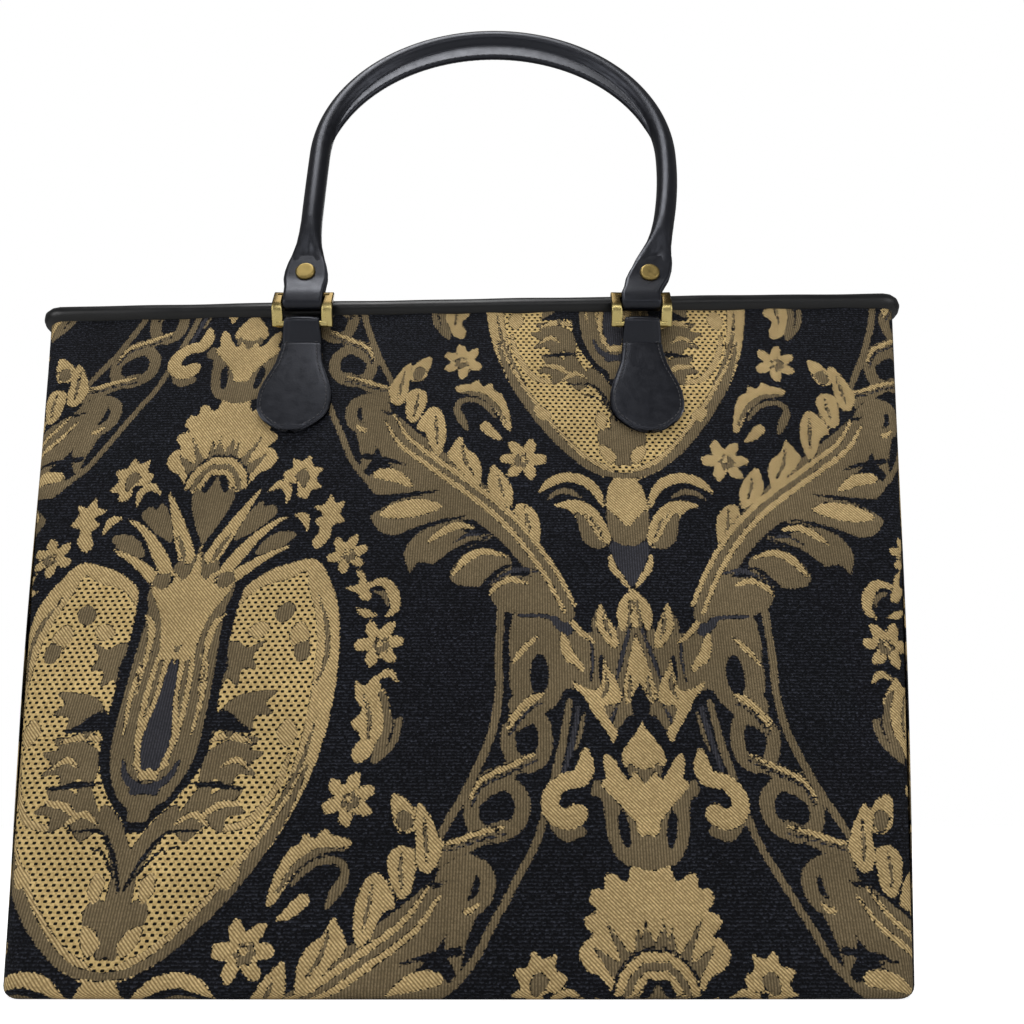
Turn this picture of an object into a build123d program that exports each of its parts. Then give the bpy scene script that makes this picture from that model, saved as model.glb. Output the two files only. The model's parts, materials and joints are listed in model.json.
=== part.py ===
from build123d import *
import os
from math import atan2, cos, degrees, radians, sin

# Carpet bag: a tapestry tote with a rolled mouth edge and two rolled leather handles on brass rings.
# Millimetres. The origin is the middle of the base on the floor, -Y is the front and +Z is up.

# Bag body: it widens and gets shallower from the base to the mouth
base_width = 312.0
base_depth = 150.0
mouth_width = 420.0
mouth_depth = 116.0
mouth_height = 290.0
corner_radius = 8.0
base_roll = 4.0
face_belly = 4.5
gusset_fold = 9.0
height_shares = (0.0, 0.35, 0.7, 1.0)
belly_shares = (0.15, 1.0, 0.8, 0.27)
fold_shares = (-0.15, 0.1, 0.5, 1.0)

# Cloth, lining and stiffener
panel_thickness = 3.0
lining_thickness = 1.0
lining_gap = 0.25
board_thickness = 2.5
board_margin = 1.0

# Rolled mouth edge
binding_diameter = 9.6
binding_inset = 2.0
slit_play_out = 0.6
slit_play_in = 0.9

# Bent brass rings, seen from the side as (out from the face, up from the middle of the mouth edge)
foot_spacing = 160.0
ring_width = 28.4
ring_bar_width = 4.4
ring_thickness = 2.8
ring_wire_diameter = 3.2
ring_bend_radius = 3.0
lower_bar_out = 5.0
lower_bar_drop = 14.6
bend_out = 9.8
bend_drop = 8.4
upper_bar_out = 8.2
upper_bar_rise = -0.4

# Leather, and the play of a ring in its leather loop
leather_thickness = 1.5
ring_play = 0.2

# Teardrop tabs on the faces
tab_width = 33.5
tab_neck_width = 18.0
tab_fold_width = 15.6
tab_length = 60.9
tab_shoulder_length = 30.9
tab_throat_length = 10.0

# Handle: a round arch with a sewn web inside its crown
handle_radius = 90.5
handle_spring = 92.0
handle_sway = 9.0
grip_diameter = 10.4
web_depth = 9.3
web_edge_thickness = 3.2
web_tuck = 4.0
grip_end_share = 0.54

# Handle ends: the tube flattens to a strap, from the tube down to the ring
strap_shares = (0.52, 0.67, 0.8, 0.9, 0.955)
strap_widths = (10.0, 12.4, 18.4, 21.0, 18.6)
strap_depths = (10.0, 6.6, 3.4, 3.4, 3.4)
strap_tilt_shares = (1.0, 1.0, 0.6, 0.3, 0.1)
strap_corner_share = 0.48
loop_width = 18.6
loop_slack = 4.8
loop_neck = 7.0

# Rivets
rivet_share = 0.858
rivet_cap_diameter = 9.6
rivet_cap_height = 1.7
rivet_cap_round = 1.2
rivet_shank_diameter = 3.2

# How the back handle hangs, in degrees
ring_hang_angle = 146.0
handle_hang_angle = 32.5


def half_width_at(share):
    return (base_width + (mouth_width - base_width) * share) / 2


def half_depth_at(share):
    return (base_depth + (mouth_depth - base_depth) * share) / 2


def bag_section(share, belly_share, fold_share, inset):
    """Level section of the bag: swelling faces, gussets that fold in, and round corners."""
    half_width = half_width_at(share) - inset
    half_depth = half_depth_at(share) - inset
    swell = half_depth + face_belly * belly_share
    side = half_width - gusset_fold * fold_share
    with BuildSketch(Plane.XY.offset(mouth_height * share)) as section:
        with BuildLine():
            ThreePointArc((-half_width, -half_depth), (0, -swell), (half_width, -half_depth))
            ThreePointArc((half_width, -half_depth), (side, 0), (half_width, half_depth))
            ThreePointArc((half_width, half_depth), (0, swell), (-half_width, half_depth))
            ThreePointArc((-half_width, half_depth), (-side, 0), (-half_width, -half_depth))
        make_face()
        fillet(section.vertices(), radius=corner_radius - inset)
    return section.sketch


def bag_form(inset):
    """Filled bag, drawn in by inset all round."""
    rows = zip(height_shares, belly_shares, fold_shares)
    with BuildPart() as form:
        loft(sections=[bag_section(*row, inset) for row in rows])
    return form.part


def seam_plane(x_side, y_side):
    """Plane of a corner seam, facing the front or the back panel beside it."""
    low = Vector(
        x_side * (base_width / 2 - corner_radius),
        y_side * (base_depth / 2 - corner_radius),
        0,
    )
    high = Vector(
        x_side * (mouth_width / 2 - corner_radius),
        y_side * (mouth_depth / 2 - corner_radius),
        mouth_height,
    )
    across = Vector(x_side, y_side, 0)
    normal = (high - low).cross(across)
    return Plane(origin=low, x_dir=across, z_dir=normal * (y_side if normal.Y > 0 else -y_side))


def finish(piece, name):
    """Label a piece and write it to its file."""
    piece.part.label = name
    export_step(piece.part, f"parts/{name}.step")


os.makedirs("parts", exist_ok=True)

# Rolled mouth edge: a closed tube, slit below to take the top edges of the walls and the lining
with BuildPart() as top_binding:
    mouth_line = bag_section(1.0, belly_shares[-1], fold_shares[-1], binding_inset).face().outer_wire()
    inwards = Vector(0, 0, 1).cross(mouth_line % 0)
    slit_width = panel_thickness + lining_gap + lining_thickness + slit_play_out + slit_play_in
    with BuildSketch(Plane(origin=mouth_line @ 0, x_dir=inwards, z_dir=mouth_line % 0)):
        Circle(binding_diameter / 2)
        with Locations((-binding_inset - slit_play_out, 0)):
            Rectangle(slit_width, binding_diameter, align=(Align.MIN, Align.MAX), mode=Mode.SUBTRACT)
    sweep(path=mouth_line)
finish(top_binding, "top_binding")

# Outer form of the bag, rolled at the base edge, and the walls that stand on the base
with BuildPart() as outer_form:
    add(bag_form(0))
    fillet(outer_form.faces().sort_by(Axis.Z)[0].edges(), radius=base_roll)

with BuildPart() as walls:
    add(outer_form.part)
    split(bisect_by=Plane.XY.offset(panel_thickness), keep=Keep.TOP)
    add(bag_form(panel_thickness), mode=Mode.SUBTRACT)

with BuildPart() as base_panel:
    add(outer_form.part)
    split(bisect_by=Plane.XY.offset(panel_thickness), keep=Keep.BOTTOM)
finish(base_panel, "base_panel")

# Front and back panels, cut from the walls at the corner seams
for name, y_side in (("front_panel", -1), ("back_panel", 1)):
    with BuildPart() as face_panel:
        add(walls.part)
        split(bisect_by=Plane(origin=(0, 0, 0), z_dir=(0, y_side, 0)), keep=Keep.TOP)
        split(bisect_by=seam_plane(-1, y_side), keep=Keep.TOP)
        split(bisect_by=seam_plane(1, y_side), keep=Keep.TOP)
    finish(face_panel, name)

# Gussets between them
for name, x_side in (("left_gusset", -1), ("right_gusset", 1)):
    with BuildPart() as gusset:
        add(walls.part)
        split(bisect_by=seam_plane(x_side, -1), keep=Keep.BOTTOM)
        split(bisect_by=seam_plane(x_side, 1), keep=Keep.BOTTOM)
    finish(gusset, name)

# Stiffener on the base panel
with BuildPart() as base_board:
    floor_share = panel_thickness / mouth_height
    add(bag_section(floor_share, belly_shares[0], fold_shares[0], panel_thickness + board_margin))
    extrude(amount=board_thickness)
finish(base_board, "base_board")

# Lining: a thin bag on the stiffener, inside the walls and under the mouth edge
lining_floor = panel_thickness + board_thickness
lining_inset = panel_thickness + lining_gap

with BuildPart() as lining_hollow:
    add(bag_form(lining_inset + lining_thickness))
    split(bisect_by=Plane.XY.offset(lining_floor + lining_thickness), keep=Keep.TOP)

with BuildPart() as lining:
    add(bag_form(lining_inset))
    split(bisect_by=Plane.XY.offset(lining_floor), keep=Keep.TOP)
    add(lining_hollow.part, mode=Mode.SUBTRACT)
finish(lining, "lining")


def face_depth(row):
    """Depth of the front face above a foot of the handle, at one of the levels."""
    share = height_shares[row]
    foot_share = foot_spacing / 2 / half_width_at(share)
    return half_depth_at(share) + face_belly * belly_shares[row] * (1 - foot_share**2)


top_band = mouth_height * (height_shares[-1] - height_shares[-2])
mouth_lean = degrees(atan2(face_depth(-2) - face_depth(-1), top_band))


def face_plane(y_side):
    """Plane of the front or back face at the mouth: x along the mouth, y up the face, z out of it."""
    lean = radians(mouth_lean)
    return Plane(
        origin=(0, y_side * face_depth(-1), mouth_height),
        x_dir=(-y_side, 0, 0),
        z_dir=(0, y_side * cos(lean), sin(lean)),
    )


def swing(plane, pivot, angle):
    """Turn a plane outwards about a line along the mouth through pivot, given as (out, up)."""
    turn = radians(angle)
    out = plane.z_dir * cos(turn) - plane.y_dir * sin(turn)
    up = plane.y_dir * cos(turn) + plane.z_dir * sin(turn)
    axis_point = plane.origin + plane.z_dir * pivot[0] + plane.y_dir * pivot[1]
    return Plane(origin=axis_point - out * pivot[0] - up * pivot[1], x_dir=plane.x_dir, z_dir=out)


def side_plane(plane, x):
    """Plane across a face at x, in which a profile is drawn as (out, up)."""
    return Plane(origin=plane.origin + plane.x_dir * x, x_dir=plane.z_dir, z_dir=-plane.x_dir)


lower_bar = (lower_bar_out, -lower_bar_drop)
ring_bend = (bend_out, -bend_drop)
upper_bar = (upper_bar_out, upper_bar_rise)
eye_radius = ring_wire_diameter / 2 + ring_play
loop_radius = eye_radius + leather_thickness


def make_tab(plane, x):
    """Doubled teardrop of leather, sewn to the face, with the lower bar of its ring in the fold."""
    fold_top = loop_radius - lower_bar_drop
    tip_radius = tab_width / 2
    belly_height = fold_top - tab_length + tip_radius
    shoulder_height = belly_height + tab_shoulder_length
    throat = -lower_bar_drop - tab_throat_length
    front = 2 * leather_thickness
    middle = ((tip_radius + tab_neck_width / 2) / 2, (belly_height + shoulder_height) / 2)
    with BuildPart() as tab:
        with BuildSketch(side_plane(plane, x)):
            with BuildLine():
                Polyline(
                    (-panel_thickness, fold_top - tab_length),
                    (front, fold_top - tab_length),
                    (front, throat),
                    (lower_bar_out + loop_radius, -lower_bar_drop),
                    (lower_bar_out - loop_radius, -lower_bar_drop),
                    (-panel_thickness, throat),
                    close=True,
                )
            make_face()
            with Locations(lower_bar):
                Circle(loop_radius)
                Circle(eye_radius, mode=Mode.SUBTRACT)
        extrude(amount=tab_width, both=True)
        with BuildSketch(Plane(origin=plane.origin + plane.x_dir * x, x_dir=plane.x_dir, z_dir=plane.z_dir)):
            with BuildLine() as half:
                RadiusArc((0, belly_height - tip_radius), (tip_radius, belly_height), -tip_radius)
                TangentArc((tip_radius, belly_height), middle, tangent=(0, 1))
                TangentArc((tab_neck_width / 2, shoulder_height), middle, tangent=(0, -1))
                Line((tab_neck_width / 2, shoulder_height), (tab_fold_width / 2, fold_top))
                Line((tab_fold_width / 2, fold_top), (0, fold_top))
                mirror(about=Plane.YZ)
            make_face()
        extrude(amount=tab_width, both=True, mode=Mode.INTERSECT)
        add(outer_form.part, mode=Mode.SUBTRACT)
    return tab


def make_ring(plane, x):
    """Bent rectangular ring: flat side bars, with round bars across their ends."""
    profile = side_plane(plane, x)
    with BuildPart() as ring:
        with BuildSketch(profile):
            with BuildLine():
                FilletPolyline(lower_bar, ring_bend, upper_bar, radius=ring_bend_radius)
            trace(line_width=ring_thickness)
            with Locations(lower_bar, upper_bar):
                Circle(ring_bar_width / 2)
        extrude(amount=ring_width / 2, both=True)
        with BuildSketch(profile):
            with Locations(ring_bend):
                Circle(ring_width)
        extrude(amount=ring_width / 2 - ring_bar_width, both=True, mode=Mode.SUBTRACT)
        with BuildSketch(profile):
            with Locations(lower_bar, upper_bar):
                Circle(ring_wire_diameter / 2)
        extrude(amount=(ring_width - ring_bar_width) / 2, both=True)
    return ring


def handle_plane(plane):
    """Plane of the handle, with its origin midway between the upper bars of its rings."""
    origin = plane.origin + plane.z_dir * upper_bar_out + plane.y_dir * upper_bar_rise
    return Plane(origin=origin, x_dir=plane.x_dir, z_dir=plane.z_dir)


def leg_curve(grip, x_side):
    """Line of a leg, from the spring of the arch down to the bar of the ring."""
    with BuildLine() as leg:
        TangentArc(
            (handle_sway + x_side * handle_radius, handle_spring),
            (x_side * foot_spacing / 2, 0),
            tangent=(0, -1),
        )
    return grip.from_local_coords(leg.edge())


def make_rivet(grip, x_side):
    """Rivet through a handle end: two round caps on one shank."""
    seat = Plane(origin=leg_curve(grip, x_side) @ rivet_share, x_dir=grip.x_dir, z_dir=grip.z_dir)
    with BuildPart() as rivet:
        with BuildSketch(seat):
            Circle(rivet_cap_diameter / 2)
        extrude(amount=leather_thickness + rivet_cap_height, both=True)
        with BuildSketch(seat):
            Circle(rivet_cap_diameter)
            Circle(rivet_shank_diameter / 2, mode=Mode.SUBTRACT)
        extrude(amount=leather_thickness, both=True, mode=Mode.SUBTRACT)
        rims = rivet.edges().sort_by(Axis(seat.origin, seat.z_dir))
        fillet([rims[0], rims[-1]], radius=rivet_cap_round)
    return rivet.part


def make_web(grip):
    """Web of the handle: the two edges of the leather sewn together inside the crown, deepest at its top."""
    centre = grip.origin + grip.x_dir * handle_sway + grip.y_dir * handle_spring
    web_end = handle_radius - grip_diameter / 2 - web_depth
    reach = (handle_radius - web_tuck) ** 2 / web_end
    with BuildPart() as web:
        with BuildSketch(Plane(origin=centre, x_dir=grip.x_dir, z_dir=-grip.y_dir)):
            with BuildLine():
                Polyline(
                    (handle_radius, -grip_diameter / 2),
                    (handle_radius, grip_diameter / 2),
                    (web_end, web_edge_thickness / 2),
                    (web_end, -web_edge_thickness / 2),
                    close=True,
                )
            make_face()
        revolve(axis=Axis(centre, grip.z_dir), revolution_arc=180)
        with BuildSketch(Plane(origin=centre, x_dir=grip.x_dir, z_dir=grip.z_dir)):
            with Locations((0, (web_end - reach) / 2)):
                Circle((web_end + reach) / 2)
        extrude(amount=grip_diameter, both=True, mode=Mode.SUBTRACT)
    return web.part


def strap_section(leg, grip, share, width, depth, tilt_share):
    """Section across a handle end, square to the leg, or to the ring where tilt_share is 0."""
    along = grip.y_dir * (1 - tilt_share) - (leg % share) * tilt_share
    with BuildSketch(Plane(origin=leg @ share, x_dir=along.cross(grip.z_dir), z_dir=along)) as section:
        RectangleRounded(width, depth, strap_corner_share * depth)
    return section.sketch


def make_handle(grip):
    """Rolled handle: tube, sewn web inside the crown, and flattened ends folded round the rings."""
    legs = {x_side: leg_curve(grip, x_side) for x_side in (-1, 1)}
    with BuildLine(grip) as crown:
        CenterArc((handle_sway, handle_spring), handle_radius, 0, 180)
    grip_line = Wire([legs[-1].trim(0, grip_end_share), crown.edge(), legs[1].trim(0, grip_end_share)])
    with BuildPart() as handle:
        with BuildSketch(Plane(origin=grip_line @ 0, z_dir=grip_line % 0)):
            Circle(grip_diameter / 2)
        sweep(path=grip_line)
        add(make_web(grip))
        for x_side, leg in legs.items():
            rows = zip(strap_shares, strap_widths, strap_depths, strap_tilt_shares)
            loft(sections=[strap_section(leg, grip, *row) for row in rows])
            with BuildSketch(side_plane(grip, x_side * foot_spacing / 2)):
                with BuildLine():
                    Polyline(
                        (-loop_radius, 0),
                        (loop_radius, 0),
                        (leather_thickness, loop_neck),
                        (-leather_thickness, loop_neck),
                        close=True,
                    )
                make_face()
                with Locations((0, -loop_slack / 2)):
                    SlotCenterToCenter(loop_slack, 2 * loop_radius, rotation=90)
                    SlotCenterToCenter(loop_slack, 2 * eye_radius, rotation=90, mode=Mode.SUBTRACT)
            extrude(amount=loop_width / 2, both=True)
            add(make_rivet(grip, x_side), mode=Mode.SUBTRACT)
    return handle


# The two handle sets: the front one stands in line with the face, the back one hangs down its face
face_lean = degrees(atan2(face_depth(0) - face_depth(-1), mouth_height))
for side, y_side, ring_angle, handle_angle in (
    ("front", -1, 0, mouth_lean - face_lean),
    ("back", 1, ring_hang_angle, handle_hang_angle),
):
    face = face_plane(y_side)
    ring_face = swing(face, lower_bar, ring_angle)
    grip = handle_plane(swing(ring_face, upper_bar, handle_angle))
    for hand, x_side in (("left", y_side), ("right", -y_side)):
        foot = -y_side * x_side * foot_spacing / 2
        finish(make_tab(face, foot), f"{side}_{hand}_tab")
        finish(make_ring(ring_face, foot), f"{side}_{hand}_ring")
    finish(make_handle(grip), f"{side}_handle")
    with BuildPart() as rivets:
        add(make_rivet(grip, -1))
        add(make_rivet(grip, 1))
    finish(rivets, f"{side}_rivets")
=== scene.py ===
import itertools
import json
import math

import bpy
import numpy as np
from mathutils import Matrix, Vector

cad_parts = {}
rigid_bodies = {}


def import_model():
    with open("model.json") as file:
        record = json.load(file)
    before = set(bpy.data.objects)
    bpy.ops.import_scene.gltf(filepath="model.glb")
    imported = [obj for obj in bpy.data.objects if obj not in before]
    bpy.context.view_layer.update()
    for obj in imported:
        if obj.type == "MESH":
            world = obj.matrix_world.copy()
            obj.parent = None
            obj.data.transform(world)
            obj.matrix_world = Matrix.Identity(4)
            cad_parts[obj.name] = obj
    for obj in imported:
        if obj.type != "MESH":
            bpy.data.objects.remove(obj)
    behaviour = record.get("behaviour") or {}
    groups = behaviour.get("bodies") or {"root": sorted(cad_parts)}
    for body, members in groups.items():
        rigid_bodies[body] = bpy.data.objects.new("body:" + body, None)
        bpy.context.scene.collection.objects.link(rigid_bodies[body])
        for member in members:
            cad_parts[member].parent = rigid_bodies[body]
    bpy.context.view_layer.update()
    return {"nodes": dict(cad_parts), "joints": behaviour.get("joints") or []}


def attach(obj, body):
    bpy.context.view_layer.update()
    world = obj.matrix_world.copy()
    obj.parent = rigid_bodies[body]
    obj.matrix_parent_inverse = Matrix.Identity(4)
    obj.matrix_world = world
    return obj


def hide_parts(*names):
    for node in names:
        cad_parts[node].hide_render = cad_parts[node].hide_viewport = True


for thing in list(bpy.data.objects):
    bpy.data.objects.remove(thing)
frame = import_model()
MM = 0.001

# Tapestry walls: a front, a back, two gussets and a base of jacquard cloth, sewn at the corners into a
# tote. It hangs a little slack between the stiff base and the rolled mouth edge, so it is lofted in
# level lines that swell outwards on the faces and fold inwards on the gussets.
base_width, base_depth = 312.0, 150.0
mouth_width, mouth_depth, mouth_height = 420.0, 116.0, 290.0
corner_radius, base_roll = 8.0, 4.0
height_shares = (0.0, 0.35, 0.7, 1.0)
belly_curve = np.polyfit(height_shares, (0.7, 4.5, 3.6, 1.2), 3)
fold_curve = np.polyfit(height_shares, (-1.4, 0.9, 4.5, 9.0), 3)
long_wave, short_wave, gusset_wave, pucker = 1.0, 0.7, 0.8, 0.5
pucker_fade, pucker_hem = 22, 6
tilt_share = 0.02


def half_sizes(level):
    """Half width and half depth of the bag at a level."""
    share = level / mouth_height
    half_width = (base_width + (mouth_width - base_width) * share) / 2
    return half_width, (base_depth + (mouth_depth - base_depth) * share) / 2


def wall_row(level, inset, count, side):
    """Even points along a level line of one wall, seam to seam, and how far each is from its middle."""
    fit_rounds, corner_steps, run_steps = 30, 14, 90
    half_width, half_depth = np.array(half_sizes(level)) - inset
    belly = np.polyval(belly_curve, level / mouth_height)
    fold = np.polyval(fold_curve, level / mouth_height)
    radius = max(corner_radius - inset, 1.0)
    face_x, side_y = half_width - radius, radius - half_depth
    for _ in range(fit_rounds):
        face_out = np.array((2 * belly * face_x / half_width**2, -1.0))
        side_out = np.array((1.0, -2 * fold * side_y / half_depth**2))
        face_out /= np.linalg.norm(face_out)
        side_out /= np.linalg.norm(side_out)
        face_y = -half_depth - belly * (1 - (face_x / half_width) ** 2)
        side_x = half_width - fold * (1 - (side_y / half_depth) ** 2)
        face_x = side_x + radius * (face_out[0] - side_out[0])
        side_y = face_y + radius * (side_out[1] - face_out[1])
    centre = np.array((face_x, face_y)) - radius * face_out
    out = side_out if side else face_out
    turn = np.linspace(math.atan2(out[1], out[0]), -math.pi / 4, corner_steps)
    arc = centre + radius * np.stack((np.cos(turn), np.sin(turn)), -1)
    along = np.linspace(0, 1, run_steps)
    if side:
        run_y = along * side_y
        run = np.stack((half_width - fold * (1 - (run_y / half_depth) ** 2), run_y), -1)
        mirror = (1, -1)
    else:
        run_x = along * face_x
        run = np.stack((run_x, -half_depth - belly * (1 - (run_x / half_width) ** 2)), -1)
        mirror = (-1, 1)
    half = np.concatenate((run, arc[1:]))
    line = np.concatenate(((half * mirror)[:0:-1], half))
    length = np.concatenate(((0,), np.cumsum(np.linalg.norm(np.diff(line, axis=0), axis=1))))
    even = np.linspace(0, length[-1], count)
    points = np.stack((np.interp(even, length, line[:, 0]), np.interp(even, length, line[:, 1])), -1)
    return points, even - length[-1] / 2


def face_slack(x, level):
    """How far the slack cloth of a face stands out of its plain form, in mm."""
    free = np.clip(np.sin(np.pi * np.clip(level / mouth_height, 0, 1)), 0, 1)
    waves = long_wave * np.sin(x / 41 + 0.8 + level / 150) + short_wave * np.sin(x / 23 - level / 90)
    below = mouth_height - level
    puckers = pucker * np.sin(x / 6.5 + 1.7 * np.sin(x / 31)) * np.exp(-below / pucker_fade)
    return free * waves + puckers * np.clip(below / pucker_hem, 0, 1)


def mouth_tilt(x, level):
    """How far the soft mouth edge stands up on its right and droops on its left, in mm."""
    return tilt_share * x * np.clip(level / mouth_height, 0, 1) ** 3


def grid_mesh(name, points, wrap_rows=False, wrap_columns=False):
    """Smooth mesh over points in mm, rows by columns; a wrap joins the last row or column to the first."""
    rows, columns = points.shape[:2]
    index = np.arange(rows * columns).reshape(rows, columns)
    if wrap_rows:
        index = np.concatenate((index, index[:1]))
    if wrap_columns:
        index = np.concatenate((index, index[:, :1]), 1)
    corners = (index[:-1, :-1], index[:-1, 1:], index[1:, 1:], index[1:, :-1])
    mesh = bpy.data.meshes.new(name)
    mesh.from_pydata((points.reshape(-1, 3) * MM).tolist(), [], np.stack(corners, -1).reshape(-1, 4).tolist())
    mesh.shade_smooth()
    piece = bpy.data.objects.new(name, mesh)
    bpy.context.scene.collection.objects.link(piece)
    return piece


# The damask of that cloth: motifs on upright mirror lines, each line's motifs half a repeat above the
# next line's. Shapes are drawn on one line, in mm across from it and up from the base edge of the front.
mirror_line = 67.5
repeat_across, repeat_up = 181.0, 192.0
tones = ("gold", "bronze", "net", "dim")
motifs = []


def leaf(tone, *outline):
    """A filled shape with a smooth outline of (across, up) points, in a tone or cut back to the ground."""
    motifs.append((tone, np.array(outline, float), None))


def band(tone, *line):
    """A tapering stroke through (across, up, half width) points."""
    line = np.array(line, float)
    motifs.append((tone, line[:, :2], line[:, 2]))


def smooth_line(points, closed, steps=5):
    """Points on a smooth curve through the given ones."""
    points = np.asarray(points, float)
    if closed:
        around = np.concatenate((points[-1:], points, points[:2]))
    else:
        around = np.concatenate((2 * points[:1] - points[1:2], points, 2 * points[-1:] - points[-2:-1]))
    rows = []
    for a, b, c, d in zip(around, around[1:], around[2:], around[3:]):
        for t in np.arange(steps) / steps:
            square, cube = 2 * a - 5 * b + 4 * c - d, 3 * b - a - 3 * c + d
            rows.append(0.5 * (2 * b + (c - a) * t + square * t**2 + cube * t**3))
    if not closed:
        rows.append(points[-1])
    return np.array(rows)


# Plaited ribbon from the crown to the next branch, with a thin ribbon on each side
for loop in (
    ((38.5, 124), (46.5, 118), (46, 106), (39, 100), (32, 106), (32, 118)),
    ((41, 97), (49.5, 92), (48.5, 82), (43, 78), (37, 82), (36.5, 92)),
    ((52, 72), (61.5, 66), (61.5, 57), (54, 53), (45.5, 58), (45, 67)),
    ((64, 44), (71, 39), (70, 31), (63.5, 28), (57, 32), (56.5, 40)),
):
    band("bronze", *((x, y, 2.7) for x, y in loop + loop[:2]))
band("bronze", (40, 104, 2), (46, 98, 2.8), (50, 91, 2))
band("bronze", (41, 81, 2), (50, 76, 3), (58, 72, 3.2), (63, 65, 2.4))
band("bronze", (51, 56, 2.4), (60, 52, 3), (69, 48, 3), (73, 44, 2))
band("bronze", (62, 28, 3), (66, 18, 3.5), (65, 9, 1))
for link in (
    ((37, 104.5), (43, 101), (50, 92)),
    ((40, 82.5), (50, 77.5), (59, 73), (63, 66)),
    ((51, 56), (60, 53.8), (68, 51), (72, 50.5)),
):
    band("gold", *np.column_stack((link, 1.2 - 0.7 * np.abs(np.linspace(-1, 1, len(link))))))
    band("dim", *((x - 0.6, y - 2.4, 0.5) for x, y in link))
band("gold", (59, 30, 0.5), (62.5, 27.6, 1.1), (66, 29, 0.5))
band("bronze", (53.5, 139, 1.5), (54, 120, 1.5), (53.5, 108, 1.5), (54.5, 97, 1.5), (57, 87, 1.5),
     (61, 77, 1.5), (65, 68, 1.5), (70, 59, 1.4), (74, 51, 1.2))
band("bronze", (27, 102, 1.2), (30, 85, 1.5), (34, 70, 1.4), (39, 52, 1.3), (45, 40, 1.3), (53, 25, 1.3),
     (60, 12, 1.3), (68, 3, 1.3), (74, -4, 1.2))
band("dim", (23.5, 100, 0.9), (25.5, 90, 1.1), (28, 80, 0.9), (31.5, 68, 0.5))
band("bronze", (21.5, 98, 0.5), (23, 91, 0.8), (25, 84, 0.5))

# Shell palmette
leaf("gold", (-4, 43.5), (3, 44), (6.5, 43), (8, 38), (10, 37.5), (13, 40), (16, 39.5), (16.5, 35),
     (20, 35), (21.5, 31), (18.5, 27.5), (22, 26.5), (23.5, 23.5), (20, 19.5), (23, 18.5), (25.5, 14),
     (23, 9.5), (18, 7), (12, 0), (-4, -3))
leaf("bronze", (-3, 25), (-1.5, 15), (2, 21), (4, 15), (6, 23), (8, 14), (16.5, 25), (12, 12),
     (20.5, 16.5), (14, 6), (12, 1), (-4, 8))
band("ground", (-4, 15.6, 0.6), (3, 15.3, 0.6), (8.5, 12.8, 0.6), (12.5, 8.5, 0.6), (14.8, 2, 0.6))
band("gold", (-4, 13.3, 1.5), (3, 13, 1.5), (7.5, 10.8, 1.5), (11, 7, 1.5), (13, 1.5, 1.3))
band("bronze", (-4, 10.6, 1.2), (3, 10.2, 1.2), (6.4, 8.2, 1.2), (9, 5, 1.2), (10.6, 0.5, 1))
band("gold", (-3, 8, 1.2), (3, 7.4, 1.2), (6, 5, 1.2), (8, 1, 1))
leaf("ground", (-4, 6), (2, 5.6), (5, 3), (7, -1.5), (9, -5), (-4, -5))

# Scroll palmette
leaf("bronze", (-4, 42), (5, 42.2), (11, 45), (14.5, 53), (16, 65), (20, 68), (17, 73), (8, 63), (0, 55),
     (-4, 55))
leaf("ground", (9.2, 62), (10.8, 58), (9.5, 51), (7.5, 48.5), (6.3, 52), (7.5, 59))
leaf("gold", (-0.5, 93.5), (0.8, 92.8), (4, 88.6), (7, 84.5), (8.2, 80.5), (6.8, 77.5), (4, 76.8),
     (2, 76.5), (-0.5, 76))
leaf("bronze", (-4, 77), (2, 76.3), (5, 79), (6.5, 76), (2, 70.5), (-4, 69.5))
leaf("gold", (-4, 69.5), (0, 71), (3.5, 76), (6, 73), (9, 76.5), (11, 80.5), (14.5, 82.5), (15, 78),
     (14.2, 73.5), (16, 71), (8, 62), (1, 54), (-4, 54.5))
band("bronze", (24, 54.5, 2), (29, 54, 3), (33, 57, 2))
band("gold", (21.5, 83, 1.6), (21.5, 78, 3.2), (23.5, 73.5, 3.2), (29.5, 72.2, 2.9), (34, 67.5, 3.2),
     (34, 61.5, 3.3), (29, 58.6, 3.6), (25, 60.5, 3.8))
band("ground", (23, 67.5, 0.5), (28.5, 67.3, 1.2), (30.3, 64.5, 0.6))

# Acanthus crown
leaf("bronze", (-4, 134), (5, 133), (9, 129), (13, 129), (19, 129), (25, 131), (29, 138), (34, 136),
     (47, 138), (50, 128), (49.5, 118), (47, 108), (50, 101), (46, 97), (40, 102), (33, 101), (28, 107),
     (22, 105), (17, 100), (12, 90), (8, 93), (5, 97), (-4, 100))
band("dim", (2, 132, 0.7), (4.6, 124, 0.9), (7.4, 115, 0.9), (9, 109, 0.4))
band("dim", (8.5, 101, 0.4), (11, 96, 0.8), (12, 90, 0.3))
band("dim", (18, 127, 0.4), (17.5, 119, 0.8), (18.5, 110, 0.4))
band("dim", (28, 134.5, 1.5), (36, 136.5, 1.5), (46, 136.5, 1))
band("dim", (27, 130, 2.2), (30, 133, 2.6), (33, 135, 1))
leaf("ground", (12.8, 118), (14.8, 120), (15.4, 111), (13.8, 110))
leaf("ground", (-3, 108), (0, 109), (2, 104), (3.2, 100), (1, 97), (-3, 97))
leaf("gold", (-2, 146), (1.5, 145.8), (5, 143), (7, 138), (6.6, 132), (4.4, 130), (3, 134), (2.2, 139),
     (0.6, 141.5), (-4, 141))
leaf("bronze", (1.5, 131.5), (1.7, 138), (0, 142), (-2, 142), (-2, 131))
band("gold", (-0.6, 132, 0.8), (-0.4, 136, 1.1), (0.2, 140.5, 0.4))
leaf("gold", (7, 124.5), (8.4, 131), (10.8, 136), (13.6, 141.5), (15.2, 137), (15.4, 131.5),
     (12.5, 126.5), (9.2, 122.8))
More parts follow.
